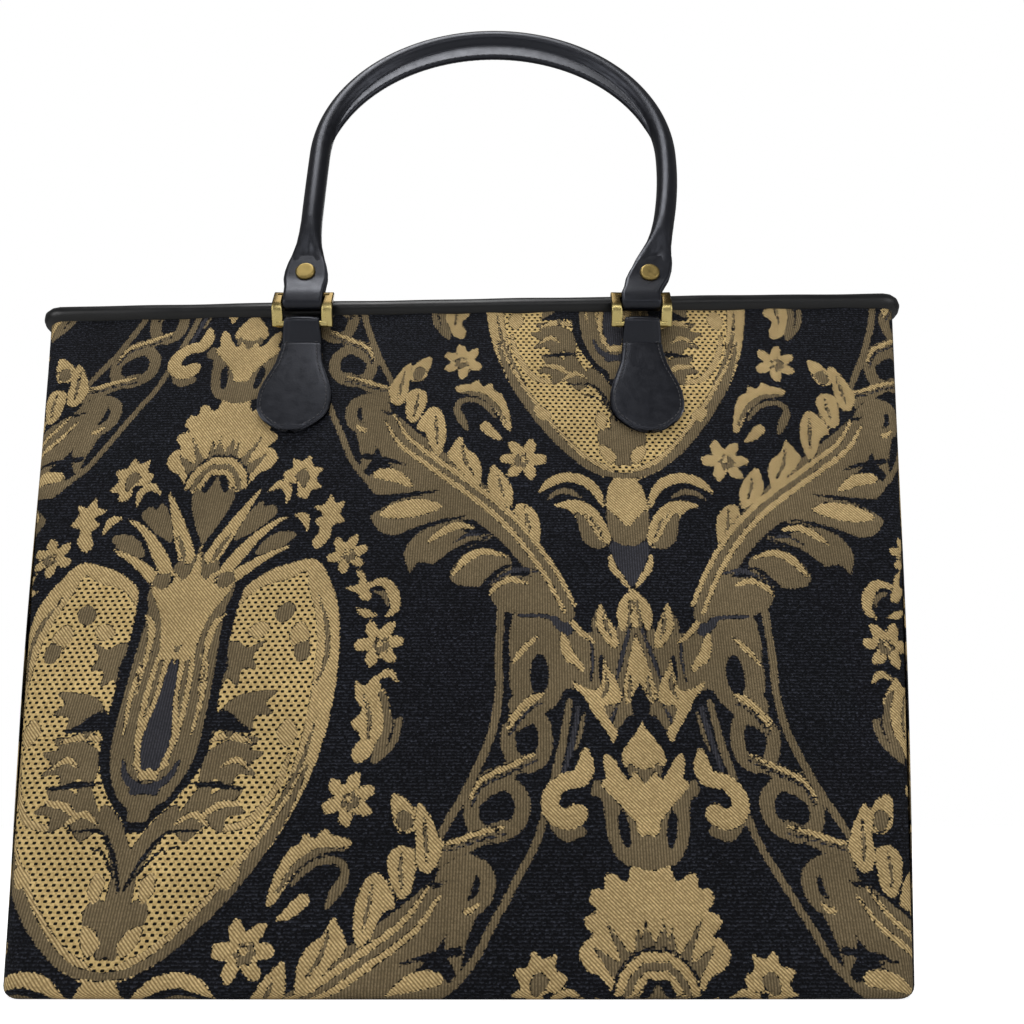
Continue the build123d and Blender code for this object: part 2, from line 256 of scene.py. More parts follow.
band("bronze", (15.2, 138, 0.3), (16.6, 132, 1), (14.5, 126.5, 0.5))
band("gold", (31, 143, 1), (26.5, 135.5, 1.1), (21.5, 129, 1.2), (16.5, 125.3, 0.5))
leaf("ground", (17.8, 131.5), (20.5, 131), (24.5, 136), (27.5, 141), (22, 141))
band("bronze", (12.5, 138, 0.4), (11.5, 132, 0.9), (9.6, 127, 0.4))
leaf("gold", (21, 115.5), (24.5, 121), (27.5, 127.5), (29.5, 129.5), (30, 124), (28, 118), (24.5, 116),
     (22, 113.5))
leaf("gold", (-0.5, 126.5), (0.2, 128.4), (2.6, 121), (4.8, 113), (6.2, 106), (5, 101), (2.6, 104.5),
     (0, 109.5), (-0.5, 109.5))
band("bronze", (3.4, 112, 0.4), (3.6, 107, 0.8), (4.4, 103, 0.4))
leaf("gold", (7, 103), (8.6, 110), (11.6, 115), (13, 118.5), (14, 112), (15.6, 107), (20, 107),
     (25.5, 110), (24, 106.5), (21, 103.5), (18.5, 98.5), (14, 92), (11, 86.8), (9.4, 91), (13, 96.5),
     (13.6, 100.5), (10, 101))
band("bronze", (12.8, 113, 0.3), (12.4, 108, 0.9), (14.5, 103.5, 0.5))
leaf("ground", (38, 121), (41.3, 117), (41.5, 108), (38.5, 104), (35.2, 108), (34.8, 116))
band("gold", (39, 127.5, 0.5), (44.5, 122.5, 1.2), (48.5, 117, 0.5))
band("gold", (37, 105, 0.7), (42, 102.5, 1.4), (50, 95, 0.6))

# Bud on its neck, with curling leaves
leaf("dim", (-4, 168), (5, 168.5), (8.5, 166), (5, 156), (1, 149), (-4, 149))
band("gold", (8.5, 161.8, 0.7), (7.6, 157, 1.5), (4.2, 152, 1.1), (1, 147.5, 0.5))
leaf("gold", (-4, 201), (0, 203), (4, 199), (7.5, 193), (8.8, 185), (7.5, 178), (3, 176), (-4, 174.5))
leaf("bronze", (-4, 175.5), (0, 175), (4, 179), (8.5, 183), (8.8, 174), (6.5, 169), (2, 167), (-4, 167.3))
band("gold", (10.3, 184, 0.5), (12.5, 191, 1.9), (18, 196.6, 2.4), (26, 198.3, 2.3), (33, 195.8, 2),
     (37.5, 191.5, 0.7))
band("ground", (15, 187, 0.5), (20, 192, 0.9), (27, 193.6, 0.9), (33, 191, 0.5))
band("bronze", (20, 189, 0.6), (25, 191.5, 1.3), (30, 191, 1.2), (34, 188, 0.5))
leaf("gold", (8, 168), (8.6, 174), (12, 181), (17, 186), (24, 187.5), (31.5, 185), (26, 183), (21.5, 178),
     (20, 171), (16, 166.5), (11, 165.3))
leaf("bronze", (9.5, 167), (13, 170), (17.5, 178), (22, 182), (21, 174), (19, 168), (14, 165))
band("bronze", (11, 170, 0.4), (13.5, 176, 0.6), (18, 182, 0.4))

# Almond medallion: a net with leaves in it, in a broad rim, round the lower part of a layered flower
leaf("gold", (-4, 196.5), (2, 197), (10, 199), (20, 205.5), (30, 216), (40, 229), (50, 243), (57, 258),
     (61.5, 273), (64, 288), (65, 303), (64.3, 318), (62, 332), (57, 344), (50, 352.5), (40, 351),
     (30, 347), (22, 340), (17, 331), (15.5, 318), (15.5, 296), (17, 284), (16.5, 270), (9, 257),
     (-4, 251))
leaf("net", (-4, 203), (8, 204.5), (18, 211), (28, 222), (38, 236), (46, 249), (51, 262), (54, 276),
     (55.5, 290), (56, 304), (55.5, 318), (53, 330), (49, 340), (47, 347), (40, 344), (30, 341),
     (23, 335), (18, 326), (16, 310), (16.5, 290), (17, 272), (10, 256), (-4, 250))
band("bronze", (0, 199, 1.2), (10, 201, 1.6), (20, 207.5, 1.8), (30, 218, 2.2), (39, 230, 2.4),
     (48, 244, 2.2), (54, 257, 1.4), (58, 270, 0.6))
band("bronze", (44, 246, 0.3), (50, 257, 0.8), (56, 272, 0.8), (59, 288, 0.3))
band("bronze", (57, 300, 0.3), (60, 312, 0.9), (58, 326, 0.9), (53, 338, 0.3))
band("gold", (30, 247, 1), (40, 250, 1.5), (48, 262, 1.3), (51, 274, 0.8))
leaf("bronze", (-4, 206), (2, 207), (5, 213), (9, 213), (11, 219), (8, 224), (4, 222), (4, 230), (8, 240),
     (14, 250), (13, 256), (6, 250), (0, 240), (-4, 234))
leaf("gold", (5.5, 205), (9, 208), (10.5, 214), (7, 214), (3, 209))
leaf("gold", (8, 222), (11.5, 226), (10, 232), (6, 229))
leaf("bronze", (8, 243), (14, 252), (20, 262), (25.5, 264.5), (24.5, 259.5), (30, 262.5), (36.5, 262),
     (34, 257), (38.5, 253), (32, 251.5), (31, 246), (25, 248.5), (19, 243), (13, 246.5))
band("gold", (22, 251, 0.5), (28, 255.5, 1.4), (35, 256.5, 0.8))
band("gold", (14, 249, 0.4), (20, 252.5, 1.2), (26, 248.5, 0.6))
leaf("bronze", (20, 263), (20, 274), (25, 278.5), (32, 281), (39, 280.5), (36, 276.5), (42, 275),
     (37, 271), (40, 266.5), (33.5, 267), (30.5, 262), (25.5, 265.5))
band("gold", (20, 279.5, 0.6), (28, 281.5, 1.5), (36, 279, 0.7))
band("gold", (27, 270, 0.4), (32, 272.5, 1.2), (37, 269, 0.5))
leaf("bronze", (20, 281), (22, 290), (27, 296), (34, 298), (43, 298.5), (39, 294), (42.5, 290), (36, 289),
     (35.5, 283.5), (30.5, 286), (27.5, 280.5), (24, 284.5))
leaf("bronze", (19, 297), (18.5, 308), (19, 317), (24, 318), (28.5, 315.5), (35, 318.5), (31, 312.5),
     (33, 307.5), (27.5, 307), (27, 300.5), (22.5, 303.5))
leaf("bronze", (37, 330), (41, 334), (45, 332), (43, 327), (39, 326))
leaf("ground", (17, 281), (22, 283.5), (30, 283), (37, 282.5), (31, 286.5), (27, 290), (22, 291),
     (19, 287))
band("ground", (17, 263.5, 0.6), (26, 263, 1.1), (36, 261.5, 0.5))
band("ground", (18, 299, 0.5), (21, 307, 0.9), (20, 313, 0.6))
band("ground", (1, 226, 0.6), (5, 237, 0.8), (12, 246, 0.7), (24, 246.5, 0.5))
band("ground", (4, 231, 0.4), (10, 239, 0.6), (17, 241, 0.4))
leaf("gold", (44, 321), (48, 326), (52.5, 320), (48, 314.5))
leaf("bronze", (47, 316), (52, 318), (53, 312), (49, 310))
leaf("gold", (45, 283), (49, 288), (53, 282), (49, 277))
leaf("gold", (32, 229), (36, 234), (40, 233), (37, 227))
leaf("gold", (27, 322), (31, 326), (36, 324), (32, 319))

# The layered flower over it, in a dark gap
leaf("ground", (-4, 366), (8, 362), (17, 354), (22.5, 345), (21, 331), (20.5, 312), (21, 290), (20, 273),
     (15, 262), (7, 252), (-4, 249))
leaf("bronze", (-0.5, 388.5), (1, 388), (3, 384), (5, 382.5), (7.5, 385), (9.3, 382.5), (9, 378),
     (6.5, 371.5), (3, 365), (-0.5, 362.5))
leaf("bronze", (13.5, 362), (16, 371), (22, 378.5), (24, 376), (27.5, 377), (30, 373.5), (25, 368),
     (19, 364))
leaf("bronze", (24, 355.5), (27, 361.5), (33, 365), (40, 364), (36, 359), (30, 355.5))
band("gold", (2, 347, 3.2), (6.5, 357, 3.5), (11.5, 367, 2.8), (16.5, 376.5, 1.6), (20.5, 383.5, 0.4))
band("gold", (10, 344, 2.4), (16.5, 354.5, 2.9), (23, 363, 2), (29.5, 368.5, 1.2), (35, 371.5, 0.4))
band("gold", (12, 340, 2), (19.5, 347.5, 2.4), (27.5, 353.3, 1.7), (37.5, 358.5, 0.5))
band("bronze", (5.5, 351, 0.4), (8, 358, 1.1), (11.5, 365, 0.4))
leaf("bronze", (-0.5, 358.5), (1, 357.5), (4, 351.5), (8.5, 353), (11, 348), (16.5, 347), (18, 339),
     (16, 330), (16.5, 312), (17, 290), (16, 274), (11, 261), (5, 255), (-4, 253))
leaf("gold", (-0.5, 358), (0.4, 357), (1.8, 350), (3.2, 345.8), (5, 344.5), (7.5, 347), (11, 349),
     (10, 344.5), (11, 341.2), (14, 341), (17.5, 342.5), (15, 337), (12.5, 333), (9.5, 327), (7.5, 317),
     (5, 311), (2.5, 317), (-0.5, 320))
leaf("ground", (8.6, 345.8), (10.2, 346.2), (9.4, 342))
band("gold", (16.5, 329.5, 0.5), (13, 325, 1.4), (11.3, 314, 1.4), (12, 298, 0.6))
band("gold", (6, 318, 0.5), (7.5, 306, 1), (8, 292, 1), (7.5, 278, 0.5))
band("gold", (13.5, 310, 0.4), (14, 296, 0.9), (13, 282, 0.4))
leaf("gold", (-4, 315), (0, 313), (3.2, 303), (5.6, 293), (7.2, 282), (6.4, 272), (3, 268.5), (-4, 268))
band("bronze", (10, 322, 0.4), (10.6, 306, 0.8), (11.4, 290, 0.8), (10.4, 276, 0.4))
leaf("dim", (-2, 309), (0.4, 308), (1.8, 300), (4, 291), (5.4, 282), (5, 275), (2.5, 271.5), (-4, 271))
band("dim", (10.5, 272, 0.7), (8, 266, 1.4), (3, 262.5, 1.7), (-4, 261, 1.7))
band("gold", (-3, 266.5, 0.6), (2, 267.5, 0.7), (6.5, 271, 0.5))

# Garland of six-petalled florets, buds and curled leaves round the medallion
turns = np.arange(36) * math.pi / 18
florets = ((45, 207, 10.5, 0), (74.5, 258, 9.8, 0.4), (80, 317, 9.8, 0.1), (63, 355, 8.6, 0.3))
for across, up, size, lean in florets:
    spans = size * (0.8 + 0.24 * np.cos(6 * turns + 0.5 * np.sin(turns)) - 0.06 * np.cos(12 * turns))
    petals = np.stack((spans * np.cos(turns + lean), spans * np.sin(turns + lean)), -1)
    leaf("gold", *(petals + (across, up)))
    leaf("bronze", *(0.42 * petals[::2] + (across + 0.8, up - 0.8)))
    leaf("gold", *(0.2 * petals[::3] + (across, up)))
leaf("gold", (50.5, 222), (52, 232), (55.5, 240), (59, 242), (60.5, 246), (64, 244), (67, 247.5),
     (70, 245.5), (77, 243.5), (75.5, 240.5), (68, 240.5), (62, 236.5), (57, 229), (53, 222))
band("bronze", (53, 225, 0.5), (58.5, 234, 1.2), (66, 239.6, 1.2), (75, 240.5, 0.5))
band("bronze", (58, 228, 0.6), (63, 234, 1.2), (69, 236.6, 1.2), (74.5, 235.5, 1.4), (76, 231, 1.6),
     (73.5, 226, 2), (71, 221, 0.8))
leaf("gold", (54.5, 216.5), (58.5, 222), (62.5, 225.5), (65, 222.5), (60, 217.5))
leaf("gold", (72.5, 302), (76, 300), (79.5, 304), (82, 300.5), (85.5, 296), (86.5, 289), (84.5, 281),
     (80, 273), (75, 271.5), (74, 276), (76.5, 281), (72.5, 286), (76, 291), (73, 296))
leaf("bronze", (81, 299), (85, 296), (87.5, 288.5), (91.5, 288), (90.5, 280), (86.5, 274), (82, 270.5),
     (81.5, 276), (84.5, 284), (83.5, 292))
band("bronze", (76, 297, 0.4), (79, 289, 0.9), (79.5, 280, 0.4))
band("ground", (85.5, 298, 0.3), (88.3, 287, 0.6), (86.5, 277, 0.3))
band("gold", (81, 303.5, 0.8), (85, 305.3, 1.5), (88.5, 302, 0.5))
leaf("gold", (64, 340), (68.5, 338), (72, 334.5), (75, 336), (73, 340.5), (71, 346), (67.5, 348),
     (69.5, 342))
band("gold", (73, 341, 0.8), (79, 342.5, 1.8), (83.5, 338, 2.3), (85, 331.5, 1.8), (82, 328, 0.6))
band("bronze", (76, 338.5, 0.5), (80, 337, 1.2), (82, 332.5, 0.5))
band("gold", (69.5, 331, 0.6), (73.5, 329.3, 1.6), (77.5, 328.3, 0.5))
leaf("gold", (52.5, 381.5), (55, 377), (59, 378), (57.5, 373), (60, 369), (55, 367.5), (54.5, 362),
     (50, 357.5), (47.5, 360.5), (50, 366), (47, 369.5), (50.5, 372), (46, 375.5), (50.5, 377))
leaf("gold", (29.5, 391), (33, 393.5), (33, 398), (37, 396.5), (40.5, 399), (42.5, 394.5), (47, 393),
     (44.5, 388.5), (47.5, 384.5), (43, 383), (42, 379.5), (37.5, 381), (37, 386), (32, 387))
leaf("bronze", (35, 390), (39, 393), (41.5, 389), (40, 384), (38, 386))
band("gold", (24.5, 383, 0.6), (29, 386, 1.7), (33, 383.5, 1.7), (33.5, 378, 0.6))
band("gold", (38.5, 372, 0.6), (42.5, 371, 1.8), (44.5, 365.5, 0.6))

# Diagonal acanthus branch
stem = ((26, 139), (34, 155), (45, 171), (56, 182.5), (70, 193.5), (85, 204), (99, 214.5), (107, 226))
stem = np.array(stem)
band("bronze", *np.column_stack((stem + (1.5, -2), (3.5, 5, 6, 7, 8.5, 9.5, 9.5, 6))))
leaf("bronze", (27, 146), (36, 151.5), (45, 153), (54, 152), (58.5, 147), (56, 141), (50, 137.5),
     (38, 137), (29, 137))
band("gold", (43, 149.8, 0.6), (50, 151.6, 1.3), (55, 149.5, 1.4), (58, 145.5, 0.6))
leaf("bronze", (50, 161), (56, 164), (63, 165.5), (70, 162), (75, 154), (72, 149.5), (64, 148.5),
     (56, 150), (50, 154))
band("gold", (52, 161.8, 0.6), (61, 164, 1.5), (68, 161, 1.8), (73.5, 154, 0.8))
leaf("bronze", (58, 170.5), (68, 172), (75, 176), (83, 175), (91, 170), (94.5, 163), (93, 158),
     (91.5, 154.5), (88, 159), (80, 158.5), (72, 164))
band("gold", (66, 174.5, 0.6), (73, 175.4, 1.5), (80, 172, 1.5), (84.5, 168, 0.5))
leaf("bronze", (63, 180), (72, 185.5), (85, 188), (98, 187), (107, 182), (110, 178.5), (105, 172.5),
     (97, 171), (88, 173), (78, 176))
leaf("gold", (80, 183.8), (87, 187), (96, 186.5), (104, 183), (106, 179.5), (98, 178.3), (88, 180))
leaf("bronze", (78, 189), (90, 196), (100, 200.5), (108, 201), (113.5, 196), (110, 190), (100, 187.5),
     (88, 187.5))
leaf("gold", (93, 192.5), (97, 198), (103, 201), (110, 200.5), (110.5, 197), (102, 195))
leaf("bronze", (100, 205), (110, 210), (118, 222), (121, 236), (115, 236), (108, 228), (101, 216))
leaf("gold", (38, 168), (37.5, 175), (39, 181), (43, 185), (47, 185.7), (48.5, 182), (45, 177), (41, 171))
leaf("gold", (50, 184), (49.5, 191), (52, 197), (56, 202), (59, 203.5), (60.5, 196), (59.5, 191),
     (55, 187))
leaf("gold", (64, 194), (63.5, 202), (66, 208), (71, 212), (73.5, 217.5), (77, 213), (79, 208), (75, 203),
     (70, 198), (66, 193))
leaf("gold", (82, 209), (80.5, 216), (81, 224), (84, 231), (88, 232), (92, 227), (94, 221), (90, 219),
     (87, 212), (84, 208.5))
leaf("gold", (95, 224), (91, 232), (90.5, 238), (94, 241.5), (99, 240), (100, 233), (99, 226))
leaf("gold", (100, 256.5), (104, 252), (107, 246), (109, 240), (106, 233), (102, 233), (100, 238),
     (99.5, 246), (99, 252))
leaf("gold", (90, 259.5), (95, 258), (99, 253), (99.5, 247), (94, 246), (91, 251))
leaf("bronze", (92, 252), (96, 254), (98.5, 249), (95, 246.5))
for shift in (-2.4, 2.6):
    beside = stem + np.array((-0.8, 0.6)) * shift
    band("gold", *np.column_stack((beside, (0.8, 1, 1.1, 1.2, 1.2, 1.2, 1, 0.5))))
for vein in (
    ((44, 184), (43, 178), (41.5, 172)),
    ((56, 199), (55, 194), (53, 189)),
    ((73, 214), (71, 206), (67, 199)),
    ((86, 229), (85, 221), (84, 213)),
    ((95, 239), (95, 233), (96, 227)),
    ((102, 252), (103, 244), (104, 236)),
):
    band("bronze", *np.column_stack((vein, (0.3, 0.8, 0.4))))
band("ground", (104, 229, 0.4), (107, 228, 0.8), (111, 229.5, 0.4))
band("dim", (38, 154.5, 0.5), (45, 156, 1), (52, 154, 0.8), (58, 149.5, 0.4))
band("dim", (60, 170, 0.4), (67, 171.6, 0.8), (74, 168, 0.4))
band("ground", (48, 158.5, 0.4), (54, 155.8, 0.9), (59, 151, 1.2), (62, 147, 1))
band("ground", (58, 169, 0.4), (66, 167.8, 0.9), (74, 163.5, 1.2), (80, 158, 1.4))
band("ground", (70, 179.5, 0.4), (80, 177.2, 1), (90, 173.5, 1.2), (98, 169.5, 1.6))
band("ground", (82, 191, 0.4), (92, 189.6, 1), (102, 188, 1.2), (111, 187.5, 1.6))
band("ground", (97, 203, 0.4), (104, 205, 1), (110, 206, 1.2), (116, 207, 1.4))


def motif_depth(x, y, points, radii):
    """How deep points lie in a motif, in mm, negative outside it."""
    closed = radii is None
    ends = smooth_line(points if closed else np.column_stack((points, radii)), closed)
    start = ends if closed else ends[:-1]
    run = (np.roll(ends, -1, 0) if closed else ends[1:]) - start
    away_x, away_y = x[:, None] - start[:, 0], y[:, None] - start[:, 1]
    square = run[:, 0] ** 2 + run[:, 1] ** 2 + 1e-9
    share = np.clip((away_x * run[:, 0] + away_y * run[:, 1]) / square, 0, 1)
    gap = np.hypot(away_x - share * run[:, 0], away_y - share * run[:, 1])
    if not closed:
        return (start[:, 2] + share * run[:, 2] - gap).max(1)
    crosses = (start[:, 1] <= y[:, None]) != (start[:, 1] + run[:, 1] <= y[:, None])
    left = x[:, None] < start[:, 0] + away_y * run[:, 0] / np.where(run[:, 1] == 0, 1, run[:, 1])
    return np.where((crosses & left).sum(1) % 2, 1, -1) * gap.min(1)


uv_size = 100.0


def paint_damask(piece, across, up):
    """Store on each point how deep it lies in each tone of the damask, and its place on the cloth."""
    far, reach = -9.0, 3.0
    fields = {tone: np.full(across.size, far) for tone in tones}
    for tone, points, radii in motifs:
        grown = reach + (0 if radii is None else radii.max())
        low, high = points.min(0) - grown, points.max(0) + grown
        for column, row, facing in itertools.product(range(-4, 5), range(-4, 3), (1, -1)):
            if (column + row) % 2:
                continue
            x = facing * (across - mirror_line - column * repeat_across)
            y = up - row * repeat_up
            near = np.nonzero((x > low[0]) & (x < high[0]) & (y > low[1]) & (y < high[1]))[0]
            if not near.size:
                continue
            depth = motif_depth(x[near], y[near], points, radii)
            for name, field in fields.items():
                if name == tone:
                    field[near] = np.maximum(field[near], depth)
                else:
                    field[near] = np.minimum(field[near], -depth)
    for tone, field in fields.items():
        layer = piece.data.attributes.new(tone, "FLOAT", "POINT")
        layer.data.foreach_set("value", field.astype(np.float32))
    corners = np.zeros(len(piece.data.loops), np.int32)
    piece.data.loops.foreach_get("vertex_index", corners)
    places = np.stack((across, up), -1)[corners] / uv_size
    piece.data.uv_layers.new(name="cloth").data.foreach_set("uv", places.astype(np.float32).ravel())


def linear(code):
    """sRGB hex to linear RGBA."""
    parts = [int(code[i : i + 2], 16) / 255 for i in (1, 3, 5)]
    return [c / 12.92 if c <= 0.04045 else ((c + 0.055) / 1.055) ** 2.4 for c in parts] + [1.0]


def feed(tree, socket, value):
    """Link a node or a socket to a socket, or set its value; a hex string is a colour."""
    if isinstance(value, bpy.types.Node):
        value = value.outputs[0]
    if isinstance(value, bpy.types.NodeSocket):
        tree.links.new(value, socket)
    elif value is not None:
        socket.default_value = linear(value) if isinstance(value, str) else value


def node(tree, kind, *inputs, **settings):
    """Add a shader node with its settings; the inputs are fed to its sockets in order."""
    made = tree.nodes.new("ShaderNode" + kind)
    for key, value in settings.items():
        setattr(made, key, value)
    for socket, value in zip(made.inputs, inputs):
        feed(tree, socket, value)
    return made


def plug(tree, made, **sockets):
    """Feed sockets of a node by name, with underscores for blanks."""
    for key, value in sockets.items():
        feed(tree, made.inputs[key.replace("_", " ")], value)


def new_material(name):
    """A node material, its tree and its shader."""
    material = bpy.data.materials.new(name)
    material.use_nodes = True
    return material, material.node_tree, material.node_tree.nodes["Principled BSDF"]


def wave(tree, value, pitch):
    """0 to 1 ripple of a value in mm with a pitch in mm."""
    angle = node(tree, "Math", value, 2 * math.pi / pitch, operation="MULTIPLY")
    ripple = node(tree, "Math", angle, operation="SINE")
    return node(tree, "Math", ripple, 0.5, 0.5, operation="MULTIPLY_ADD")


# Jacquard: ribbed navy ground, bright gold twill floats, bronze half floats and a gold net over the
# ground. Edges step from thread to thread, and the floats stand up a little from the ground.
thread_across, thread_up, twill_pitch = 0.8, 0.62, 1.4
net_across, net_up, net_sharpness = 2.8, 3.6, 7.0
clouds_per_mm, slubs_per_mm = 0.03, 0.9
tapestry, tree, shader = new_material("jacquard_tapestry")
cloth = node(tree, "VectorMath", node(tree, "UVMap", uv_map="cloth"), [uv_size] * 3, operation="MULTIPLY")
split = node(tree, "SeparateXYZ", cloth)
px, py = split.outputs[0], split.outputs[1]
counted = node(tree, "VectorMath", cloth, (thread_across, thread_up, 1), operation="DIVIDE")
counted = node(tree, "VectorMath", counted, operation="FLOOR")
thread = node(tree, "TexWhiteNoise", counted, noise_dimensions="2D")
cloud = node(tree, "TexNoise", cloth, None, clouds_per_mm, 3.0, 0.5)
speckle = node(tree, "TexNoise", cloth, None, slubs_per_mm, 2.0, 0.6)
rib = wave(tree, node(tree, "Math", speckle, 1.6, py, operation="MULTIPLY_ADD"), 2 * thread_up)
warp = wave(tree, node(tree, "Math", speckle, 0.5, px, operation="MULTIPLY_ADD"), 1.3 * thread_across)
twill = wave(tree, node(tree, "Math", px, py, operation="ADD"), twill_pitch)
jitter = node(tree, "Math", thread, 0.7, -0.35, operation="MULTIPLY_ADD")
depths, masks = {}, {}
for tone in tones:
    depths[tone] = node(tree, "Attribute", attribute_name=tone).outputs["Fac"]
    stepped = node(tree, "Math", depths[tone], jitter, operation="ADD")
    masks[tone] = node(tree, "MapRange", stepped, -0.12, 0.12, 0.0, 1.0)
lit_thread = node(tree, "Math", thread, 0.6, 0.45, operation="MULTIPLY_ADD")
lit_twill = node(tree, "Math", twill, lit_thread, operation="MULTIPLY")
lit_warp = node(tree, "Math", warp, lit_thread, operation="MULTIPLY")
lit_rib = node(tree, "Math", rib, thread, operation="MULTIPLY")
slub = node(tree, "MapRange", speckle, 0.35, 0.7, 0.0, 1.0)
slub = node(tree, "Math", slub, lit_rib, operation="MULTIPLY")
across_wave = node(tree, "Math", px, 2 * math.pi / net_across, operation="MULTIPLY")
across_wave = node(tree, "Math", across_wave, operation="COSINE")
up_wave = node(tree, "Math", py, 2 * math.pi / net_up, operation="MULTIPLY")
up_wave = node(tree, "Math", up_wave, operation="COSINE")
up_wave = node(tree, "Math", up_wave, net_sharpness, operation="POWER")
dash = node(tree, "Math", across_wave, up_wave, operation="MULTIPLY")
net_hole = node(tree, "MapRange", dash, 0.0, 0.1, 0.0, 1.0)
net_thread = node(tree, "MixRGB", lit_thread, "#8a6f3f", "#d8bc82")
color = node(tree, "MixRGB", slub, "#07080c", "#41444f")
for tone, share, low, high in (
    ("dim", lit_warp, "#28282c", "#43434a"),
    ("net", net_hole, net_thread, "#15110b"),
    ("bronze", lit_warp, "#574c38", "#85755a"),
    ("gold", lit_twill, "#86704a", "#dcc28e"),
):
    color = node(tree, "MixRGB", masks[tone], color, node(tree, "MixRGB", share, low, high))
shade = node(tree, "MapRange", cloud, 0.3, 0.7, 0.84, 1.12)
color = node(tree, "MixRGB", 1.0, color, shade, blend_type="MULTIPLY")
raised = 0.0
for tone, rise in (("gold", 1.0), ("bronze", 0.6), ("net", 0.7)):
    puff = node(tree, "MapRange", depths[tone], -0.3, 1.6, 0.0, rise, interpolation_type="SMOOTHSTEP")
    raised = node(tree, "Math", raised, puff, operation="MAXIMUM")
holes = node(tree, "Math", masks["net"], net_hole, operation="MULTIPLY")
raised = node(tree, "Math", holes, -0.5, raised, operation="MULTIPLY_ADD")
threads = node(tree, "Math", thread, warp, operation="ADD")
for ridge in (twill, rib):
    threads = node(tree, "Math", ridge, threads, operation="ADD")
bump = node(tree, "Bump", 0.7, 0.6 * MM)
plug(tree, bump, Height=node(tree, "Math", threads, 0.16, raised, operation="MULTIPLY_ADD"))
plug(tree, shader, Base_Color=color, Roughness=0.82, Normal=bump, Specular_IOR_Level=0.12)

seam_under, seam_share, wall_cut = 5.0, 1.06, 0.31
skew_share, skew_level = 0.06, 130
stretch_up, stretch_from, drift_down, drift_from, pull_run = 3.0, 20, 6.0, 165, 70


def dress(piece, material, body, replaced=None):
    """Give a piece its material, the body it rides on and the CAD node that it stands for."""
    piece.data.materials.append(material)
    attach(piece, body)
    if replaced:
        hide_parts(replaced)


def wall_rows(count):
    """(level, inset) of the rows of a wall, from under the base edge to the mouth."""
    rows = [(0.0, base_roll + seam_under)]
    for turn in np.linspace(0, math.pi / 2, 6):
        rows.append((base_roll * (1 - math.cos(turn)), base_roll * (1 - math.sin(turn))))
    return rows + [(level, 0.0) for level in np.linspace(base_roll, mouth_height, count)[1:]]


def make_wall(name, replaced, columns, rows, side, facing, across_shift, up_shift):
    """One wall of the bag, with its damask, on the front or right (facing 1) or the back or left (-1)."""
    points, across, up = [], [], []
    for level, inset in wall_rows(rows):
        line, measure = wall_row(level, inset, columns, side)
        x, y = line[:, 0], line[:, 1]
        beyond = (mirror_line - measure) / repeat_across
        pulled = level - inset + stretch_up * np.clip((level - stretch_from) / pull_run, 0, 1)
        if side:
            x = x - gusset_wave * np.sin(measure / 19 + level / 60) * np.sin(np.pi * level / mouth_height)
            across.append(measure)
            up.append(np.full(columns, pulled))
        else:
            y = y - face_slack(facing * x, np.full(columns, level))
            drift = drift_down * np.clip((level - drift_from) / pull_run, 0, 1) * np.clip(beyond, 0, 1)
            across.append(measure - skew_share * (level - skew_level) * np.clip(beyond, 0, 1.3))
            up.append(pulled - drift)
        points.append(np.stack((facing * x, facing * y, level + mouth_tilt(facing * x, level)), -1))
    piece = grid_mesh(name, np.array(points))
    paint_damask(piece, np.array(across).ravel() + across_shift, np.array(up).ravel() + up_shift)
    dress(piece, tapestry, "bag", replaced)


make_wall("front_cloth", "front_panel", 345, 262, False, 1, 0.0, 0.0)
make_wall("back_cloth", "back_panel", 261, 190, False, -1, 40.0, 60.0)
make_wall("right_cloth", "right_gusset", 96, 190, True, 1, 70.0, 120.0)
make_wall("left_cloth", "left_gusset", 96, 190, True, -1, 70.0, 120.0)


def perimeter(level, inset, columns):
    """Even points all round a level line, from the front left seam by the front to the right and round."""
    face, _ = wall_row(level, inset, columns, False)
    side, _ = wall_row(level, inset, columns // 3, True)
    return np.concatenate((face[:-1], side[::-1][:-1], -face[:-1], -side[::-1][:-1]))


# Base cloth: the same tapestry, flat under the base board and sewn to the turned-under lower edges of
# the four walls. It is a set of rings that close towards the middle.
base_inset, base_lift, middle_share = 2.0, 0.4, 0.02
rim = perimeter(0.0, base_roll + base_inset, 60)
shares = np.linspace(1, middle_share, 24)
base_points = np.array([np.column_stack((rim * share, np.full(len(rim), base_lift))) for share in shares])
base_cloth = grid_mesh("base_cloth", base_points, wrap_columns=True)
paint_damask(base_cloth, base_points[..., 0].ravel(), base_points[..., 1].ravel())
dress(base_cloth, tapestry, "bag", "base_panel")

# Rolled mouth edge: a soft tube of black vinyl round a filler, folded over the top edges of the cloth
# and the lining and sewn through them. It is never quite even, so its thickness swells a little.
tube_radius, tube_inset, tube_sides = 4.8, 2.0, 28
# Vinyl: a smooth half-gloss skin with shallow dents, so that the long highlight wavers
vinyl, tree, shader = new_material("black_vinyl_edge")
place = node(tree, "TexCoord").outputs["Object"]
grain = node(tree, "TexNoise", place, None, 0.9 / MM, 3.0, 0.6)
dents = node(tree, "TexNoise", place, None, 0.06 / MM, 2.0, 0.5)
bump = node(tree, "Bump", 0.12, 0.3 * MM)
plug(tree, bump, Height=node(tree, "Math", grain, 0.5, dents, operation="MULTIPLY_ADD"))
plug(tree, shader, Base_Color=node(tree, "MixRGB", dents, "#060607", "#0d0e10"), Normal=bump,
     Roughness=node(tree, "MapRange", dents, 0.3, 0.7, 0.3, 0.42), Specular_IOR_Level=0.35)
mouth = perimeter(mouth_height, tube_inset, 180)
ahead = np.roll(mouth, -1, 0) - np.roll(mouth, 1, 0)
ahead /= np.linalg.norm(ahead, axis=1)[:, None]
